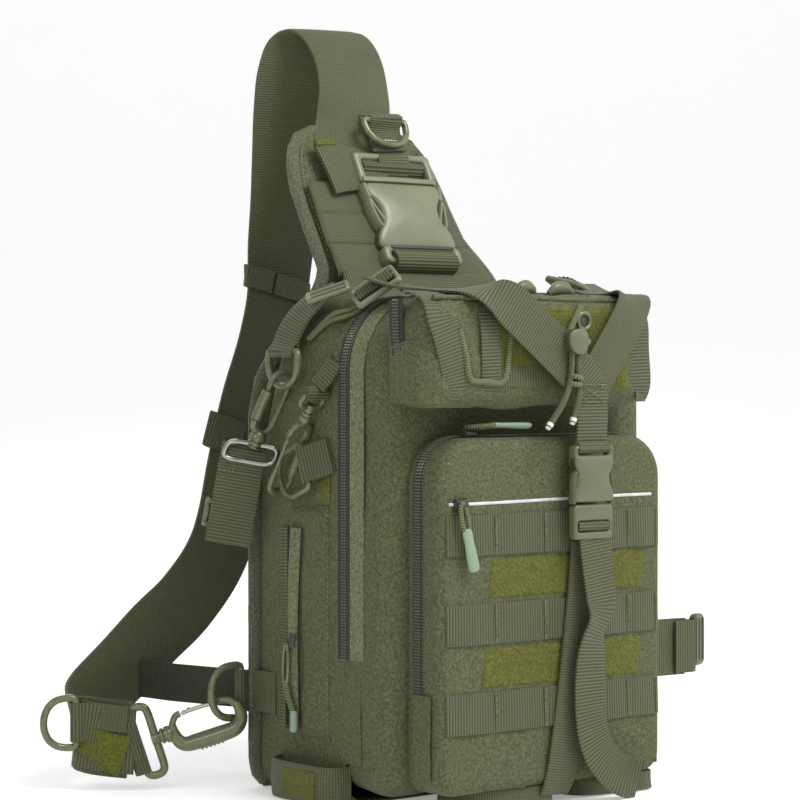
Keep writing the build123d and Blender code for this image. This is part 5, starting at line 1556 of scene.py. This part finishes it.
# ---------------------------------------------------------------- rings and swivel eyes of round wire
def wire_ring(name, pivot, x_dir, bar_dir, inside, depth, wire, body, node):
    """D-ring: the straight bar crosses the pivot, and the bow reaches along x_dir."""
    x, bar = V(x_dir).normalized(), V(bar_dir).normalized()
    half, reach, bend = inside / 2 + wire / 2, depth - wire / 2, 0.42 * inside + wire / 2
    flat = [(0, -half + 2.4), (0, half - 2.4), (0.6, half - 0.6), (2.4, half), (reach - bend, half)]
    flat += [(reach - bend + bend * sin(radians(a)), half - bend + bend * cos(radians(a)))
        for a in (25, 50, 75)]
    flat += [(reach + 0.4, 0)]
    flat += [(reach - bend + bend * sin(radians(a)), -half + bend - bend * cos(radians(a)))
        for a in (75, 50, 25)]
    flat += [(reach - bend, -half), (2.4, -half), (0.6, -half + 0.6)]
    return tube(Shape(), smooth_path([[*(V(pivot) + x * a + bar * b)] for a, b in flat], 1.4, closed=True),
        wire / 2, 12, closed=True).object(name, painted, body, "metal", node)


def wire_eye(name, at, inside, deep, wire, body, node, material, slot="metal", near=9.8):
    """Rectangular swivel eye in a hook's plane, with its bored near bar."""
    far, half = near + 2.5 + deep + wire / 2, inside / 2 + wire / 2
    shape = Shape()
    ring = smooth_path([[*at(-near, b)] for b in (-half + 6, -2, 2, half - 6)]
        + [[*at(-near - 1.2, half - 1.6)], [*at(-near - 4, half)], [*at(-far + 4, half)],
           [*at(-far + 1.2, half - 1.6)]] + [[*at(-far, b)] for b in (half - 6, 0, -half + 6)]
        + [[*at(-far + 1.2, -half + 1.6)], [*at(-far + 4, -half)], [*at(-near - 4, -half)],
           [*at(-near - 1.2, -half + 1.6)]], 1.3, closed=True)
    tube(shape, ring, wire / 2, 12, closed=True)
    tube(shape, [at(-near + 2.5, 0), at(-near + 2.2, 0), at(-near - 2.2, 0), at(-near - 2.5, 0)],
        wire / 2 + 1.5, 16)
    return shape.object(name, material, body, slot, node)


wire_ring("corner_wire_ring", *CORNER_RING, 29, 25, 5, "corner_ring", "corner_ring")
wire_ring("strap_end_wire_ring", *END_RING, 27, 23, 4.8, "strap_end_ring", "strap_end_ring")
wire_ring("upper_wire_ring", *UPPER_RING, 27, 24, 4.6, "upper_ring", "side_ring_upper")
wire_ring("lower_wire_ring", *LOWER_RING, 25, 30, 4, "lower_ring", "side_ring_lower")
wire_ring("right_wire_ring", *RIGHT_RING, 14, 18, 3, "right_ring", "right_ring")
wire_ring("strap_wire_ring", RING_PIVOT, -NECK_UP, (1, 0, 0), 30, 21, 4.6, "strap_ring", "strap_ring")
wire_eye("main_swivel_eye", at_main, 40, 7, 5.4, "bag", "main_hook_eye", painted)


def acc_place(a, b):
    """Point of the long hook's swivel eye, which lies along the accessory strap's width."""
    return LONG_HOOK[0] + LONG_X * a + acc_across * b


wire_eye("accessory_swivel_eye", acc_place, 29, 8, 3.4, "accessory", "accessory_eye", steel, "steel",
    near=6.0)
wire_eye("ribbed_swivel_eye", at_ribbed, 13, 6, 3.4, "bag", "side_hook_ribbed_eye", painted)
path = [at_ribbed(-20.6, b) for b in (-7.6, -7.2, 0, 7.2, 7.6)]
tube(Shape(), path, 4.6, 14).object("ribbed_hook_roll", web_side, "bag", "webbing")
path = [[*(V((-116, 5, 262)) + V(d)), 0.1, 0.83, 0.56] for d in ((-1.5, -1, 0), (1.5, -4, 5), (4.5, -7, 11),
        (6.5, -9, 16))]
ribbon(Shape(), path, 15, 2).object("ribbed_hook_band", web, "bag", "webbing")

# ---------------------------------------------------------------- small buckle on the compression strap
def at_small(x, y, h):
    """Point of the small buckle: across, up and out of it."""
    return V((20 + x, -98.5 - h, 225 + y))


small_outline = rounded(mirrored([(0, -35.4), (10, -35.4), (15.4, -34.8), (16.2, -32), (15.4, -28),
            (13.4, -24), (12.6, -20.5), (13.2, -17), (15.2, -13.5), (16.0, -9.5), (15.0, -6.8), (11, -6.2)]),
    1.3)
domed("small_buckle_face", small_outline, at_small, 4.0, 0.9, 2.4, plastic, "pocket_flap", "plastic",
    "small_buckle_female")
plate("small_buckle_bar", [round_rect(0, -4.4, 32.6, 9.2, 2.6), round_rect(0, -4.0, 26, 4.2, 1.2)[::-1]],
    at_small(0, 0, 0), (1, 0, 0), (0, -1, 0), 7.4, 1.8, plastic, "pocket_flap")
path = [at_small(x, -1.2, 0.4) for x in (-12.6, -12.2, 0, 12.2, 12.6)]
tube(Shape(), path, 3.7, 14).object("small_buckle_roll", web_side, "pocket_flap", "webbing")
plate("small_buckle_frame", [round_rect(0, -47.8, 32.6, 22.0, 2.8), round_rect(0, -50.6, 26, 7.0, 1.4)[::-1]],
    at_small(0, 0, 0), (1, 0, 0), (0, -1, 0), 6.6, 1.7, plastic, "small_male", "small_buckle_male")
path = [at_small(x, -50.4, 1.4) for x in (-12.4, -12, 0, 12, 12.4)]
tube(Shape(), path, 3.0, 12, flat=0.8, normal=V((0, -1, 0))).object("small_buckle_bar_webbing", web_side,
    "small_male", "webbing")
SMALL_PRONG_PLAN = ((1.9, -36.4), (1.5, -32), (0.7, -27), (-0.8, -21.5), (-2.0, -17.6), (-1.0, -15.8),
    (0.5, -17.5), (1.3, -21.5), (1.7, -26), (0.9, -31), (0.2, -33.5))
prong_pair("small", at_small, 14.0, 0.2, SMALL_PRONG_PLAN, 1.2, 1.25, 8, 2.6, (0, -1, 0), plastic)

# ---------------------------------------------------------------- zip sliders and cord pulls
def slider_body(name, middle, along, out, body, node=(), material=coil, long=9.0, wide=7.6, tall=4.6):
    """Zip slider: a waisted body with its pull bridge."""
    a, o = V(along).normalized(), V(out).normalized()
    s = a.cross(o).normalized()
    shape = Shape()
    rows = []
    for t in [k / 8 for k in range(9)]:
        w = wide / 2 * (0.72 + 0.28 * (1 - sin(pi * t)) + 0.12 * t)
        h = tall / 2 * (0.8 + 0.2 * sin(pi * t))
        centre = V(middle) + a * (long * (t - 0.5))
        rows.append([centre + s * (w * (abs(cos(g)) ** 0.5) * copysign(1, cos(g))) + o
                * (h * (abs(sin(g)) ** 0.5) * copysign(1, sin(g)))
                for g in [tau * k / 14 for k in range(14)]])
    shape.ends(shape.grid(rows, [[(k * 0.001, i * 0.001) for k in range(15)] for i in range(9)], wrap=True),
        9, 14)
    tube(shape, smooth_path([[*(V(middle) + a * (long * t) + o * (tall * h))]
                for t, h in ((-0.34, 0.4), (-0.25, 0.85), (0, 1.0), (0.25, 0.85), (0.34, 0.4))], 0.8), 0.95,
        8)
    return shape.object(name, material, body, "zip", node)


def cord_pull(name, start, knot, end, normal, body, node=(), spread=3.2, wide=6.4):
    """Doubled cord from a slider, ending in a moulded tip."""
    start, knot, end, n = V(start), V(knot), V(end), V(normal).normalized()
    lead = (knot - start).normalized()
    side = lead.cross(n).normalized()
    loop_points = [knot + side * spread * 0.45, start.lerp(knot, 0.55) + side * spread * 0.62,
        start + side * spread * 0.4 + n * 0.8, start - lead * 2.0 + n * 1.4,
        start - side * spread * 0.4 + n * 0.8, start.lerp(knot, 0.5) - side * spread * 0.66,
        knot - side * spread * 0.45]
    tube(Shape(), smooth_path([[*p] for p in loop_points], 1.4), 1.45, 9).object(name + "_cord", elastic,
        body, "pull")
    steps = ((-0.16, 0.55), (-0.1, 0.78), (0.0, 0.86), (0.14, 0.8), (0.3, 0.84), (0.6, 0.97), (0.86, 1.0),
        (0.96, 0.9), (1.0, 0.62))
    path = [knot.lerp(end, t) for t, _ in steps]
    sizes = [s for _, s in steps]

    def girth(t):
        """Radius of the moulded tip along it."""
        for (t0, s0), (t1, s1) in zip(steps, steps[1:]):
            if lerp(-0.16, 1.0, t) <= t1:
                return wide / 2 * lerp(s0, s1, (lerp(-0.16, 1.0, t) - t0) / (t1 - t0))
        return wide / 2 * sizes[-1]

    return tube(Shape(), path, girth, 16, flat=0.55, normal=n).object(name + "_tip", rubber_pull, body,
        "pull", node)


slider_body("slip_zip_slider_body", (-78, -89.4, 190.5), (1, 0, 0), (0, -1, 0), "slip_slider",
    "slip_zip_slider")
cord_pull("slip_zip_pull", (-79.5, -92.2, 189.5), (-76.2, -93.8, 172.5), (-70.6, -93.7, 150), (0, -1, 0),
    "slip_pull", "slip_zip_pull", 3.8, 8.4)
slider_body("pocket_zip_slider_body", (-58, -70.6, 232.8), (1, 0.1, 0), (0, 0, 1), "pocket_slider",
    "pocket_zip_slider")
cord_pull("pocket_zip_pull", (-57, -72.5, 236.2), (-42.5, -79.0, 238.2), (-16.5, -82.4, 237.6), (0, 0.3, 1),
    "pocket_slider", (), 4.0, 7.0)
slider_body("main_zip_slider_body", (-2, -14.5, 320.4), (1, 0, 0), (0, -0.1, 1), "main_slider",
    "main_zip_slider", steel)
cord_pull("main_zip_pull", (2, -18, 323.4), (12, -25.5, 325.0), (30, -34, 324.6), (0, 0.2, 1), "main_slider",
    (), 4.0, 8.0)
slider_body("main_zip_slider_second", (34, -13.4, 319.6), (1, 0, 0), (0, 0, 1), "bag", (), coil, 11, 9, 5.4)
slider_body("pouch_zip_slider", (-30, -64.5, 320.6), (1, 0, 0), (0, 0, 1), "main_flap", (), steel, 12, 8, 4.4)
lumps = Shape()
for x, w in ((-8, 17), (22, 21)):
    tube(lumps, smooth_path([[x - w / 2, -68, 320.5], [x - w / 4, -68.5, 323.4], [x, -68, 324.4],
                [x + w / 4, -67.5, 323.6], [x + w / 2, -67, 320.8]], 1.5), lambda t: 1.6 + 2.0 * sin(pi * t),
        10, flat=1.3)
lumps.object("pouch_zip_pulls", plastic, "main_flap", "pull")

# ---------------------------------------------------------------- elastic cord, its lock and knot
laced = Shape()
lace = [(-81, 297), (-77, 282), (-73, 267), (-60, 265.2), (-46, 266), (-41.5, 286), (-38, 308)]
tube(laced, smooth_path([[x, pouch_face(x, z) - 2.6, z] for x, z in lace], 2.0), ELASTIC_R, 10)
lace = [(-40, 310.5), (-28, 304.6), (-14, 297.5), (-4, 292.4), (2, 293.5), (7, 298.5), (12, 305),
    (17.5, 312.5)]
tube(laced, smooth_path([[x, pouch_face(x, z) - 3.0 - 3.4 * exp(-((x - 1) / 7) ** 2), z] for x, z in lace],
        2.0), ELASTIC_R, 10)
laced.object("elastic_lacing", elastic, "main_flap", "elastic", "bungee_cord")
lock_outline = rounded([(-6.6, 2.0), (-4.4, -5.2), (0.8, -8.0), (6.4, -7.2), (8.6, -2.0), (8.4, 4.6),
        (4.8, 7.8), (-1.2, 7.4), (-5.0, 5.6)], 1.4)
domed("cord_lock_body", lock_outline, lambda x, y, h: V((1.2 + x, -103.5 - h, 290 + y)), 4.2, 0.9, 2.4,
    plastic, "cord_lock", "plastic", "cord_lock")
path = [(9.0, -103.5, 290), (11.4, -103.5, 290), (12.9, -103.5, 290), (13.5, -103.5, 290)]
tube(Shape(), path, lambda t: 2.9 if t < 0.85 else 2.1, 16).object("cord_lock_press", plastic, "lock_button",
    "plastic", "cord_lock_button")
twist = []
for k in range(40):
    a = tau * k / 20
    twist.append([2.0 + (3.7 + 0.5 * sin(a * 1.5)) * cos(a), -103.6 + 3.1 * sin(a),
            269.8 - 0.17 * k + 0.8 * sin(a * 0.5)])
tube(Shape(), smooth_path(twist, 1.2), 1.7, 9).object("elastic_knot", elastic, "main_flap", "elastic")

# ---------------------------------------------------------------- right side strap and bottom loops
strap("right_side_strap", [(106.5, -12, 80.5, 0, 0, 1), (118, -14.6, 80.8, 0, 0, 1),
        (140, -15.6, 81.2, 0, 0.02, 1), (165, -15.3, 81.0, 0, 0, 1), (184, -14.6, 80.6, 0, 0, 1)], 39, 2.4,
    web, "bag", replaces="right_strap", crown=0.5)
strap("right_strap_fold", [(172, -18.0, 80.6, 0, 0, 1), (182, -18.3, 80.6, 0, 0, 1),
        (189, -18.2, 80.6, 0, 0, 1), (192.4, -16, 80.6, 0, 0, 1), (190.5, -13.0, 80.6, 0, 0, 1),
        (184, -11.4, 80.6, 0, 0, 1)], 36, 2.0, web, "tri_glide", step=1.5)
glide_outline = round_rect(0, 0, 12, 36, 3.2)
plate("tri_glide_frame", [glide_outline] + [round_rect(c, 0, 2.6, 28, 1.1)[::-1] for c in (-2.4, 2.6)],
    (195.6, -15, 84.5), (0.94, 0.34, 0), (0.34, -0.94, 0), 6.5, 2.0, plastic, "tri_glide",
    "tri_glide")
path = smooth_path([[113, -38, 78], [114.5, -39, 72], [115.3, -39.6, 66], [114.6, -40, 61]], 1.5)
tube(Shape(), path, lambda t: 4.2 - 1.8 * t, 12, flat=0.7).object("right_ring_tag", web_smooth, "bag",
    "webbing")
for x_start, tag in ((-62, "left"), (24, "right")):
    loop_plan = [(x_start - 2, -50), (x_start, -62), (x_start + 3, -72), (x_start + 10, -79.5),
        (x_start + 34, -82.5), (x_start + 58, -83.5), (x_start + 65, -79), (x_start + 65, -70),
        (x_start + 64, -58)]
    path = smooth_path([[x, y, 6.9 + wobble((x, y, 0), 20, 0.5, 71), 0.02, 0.1, 1] for x, y in loop_plan],
        2.5)
    ribbon(Shape(), path, 11.6, 2.2, crown=0.4).object("bottom_loop_" + tag, web_smooth, "main_flap",
        "webbing")

# ---------------------------------------------------------------- stage
floor_mat = Paint("pale_floor", roughness=0.9)
floor_at = floor_mat.place("Object")
floor_mat.shader.inputs["Emission Color"].default_value = (1, 1, 1, 1)
floor_mat.shader.inputs["Emission Strength"].default_value = 0.27
floor_mat.colour(floor_mat.mix(floor_mat.noise(floor_at, 0.4), (0.86, 0.86, 0.86), (0.89, 0.89, 0.89)))
bm = bmesh.new()
SWEEP = [(-6.0, 0.0), (2.2, 0.0)] + [(2.2 + 1.5 * sin(a), 1.5 - 1.5 * cos(a))
    for a in [radians(d) for d in range(10, 91, 10)]] + [(3.7, 6.0)]
heading = V((sin(radians(-CAMERA_AZIMUTH)), cos(radians(CAMERA_AZIMUTH)), 0))
lateral = V((heading.y, -heading.x, 0))
columns = [[bm.verts.new(heading * d + lateral * w + V((0, 0, h))) for d, h in SWEEP] for w in (-8, 8)]
for i in range(len(SWEEP) - 1):
    bm.faces.new((columns[0][i], columns[1][i], columns[1][i + 1], columns[0][i + 1]))
floor_mesh = bpy.data.meshes.new("floor")
bm.to_mesh(floor_mesh)
bm.free()
floor_mesh.materials.append(floor_mat.material)
floor_mesh.shade_smooth()
floor = bpy.data.objects.new("floor", floor_mesh)
bpy.context.scene.collection.objects.link(floor)


def area_light(name, at, target, size, power):
    """Round lamp aimed at a point, in metres and watts."""
    data = bpy.data.lights.new(name, "AREA")
    data.shape, data.size, data.energy = "DISK", size, power
    lamp = bpy.data.objects.new(name, data)
    bpy.context.scene.collection.objects.link(lamp)
    lamp.location = at
    lamp.rotation_euler = (V(target) - V(at)).to_track_quat("-Z", "Y").to_euler()


area_light("key", (0.25, -0.85, 1.4), (0, 0, 0.34), 0.7, 19)
area_light("side_fill", (-2.0, -1.1, 1.3), (0, 0, 0.25), 1.0, 10)
area_light("right_fill", (1.9, -1.2, 1.0), (0, 0, 0.25), 1.2, 9)
area_light("rim", (0.8, 2.0, 1.6), (0, 0, 0.3), 1.2, 12)
world = bpy.data.worlds.new("studio")
world.use_nodes = True
world.node_tree.nodes["Background"].inputs["Color"].default_value = (1, 1, 1, 1)
world.node_tree.nodes["Background"].inputs["Strength"].default_value = 0.58
bpy.context.scene.world = world
bpy.context.scene.view_settings.view_transform = "Standard"
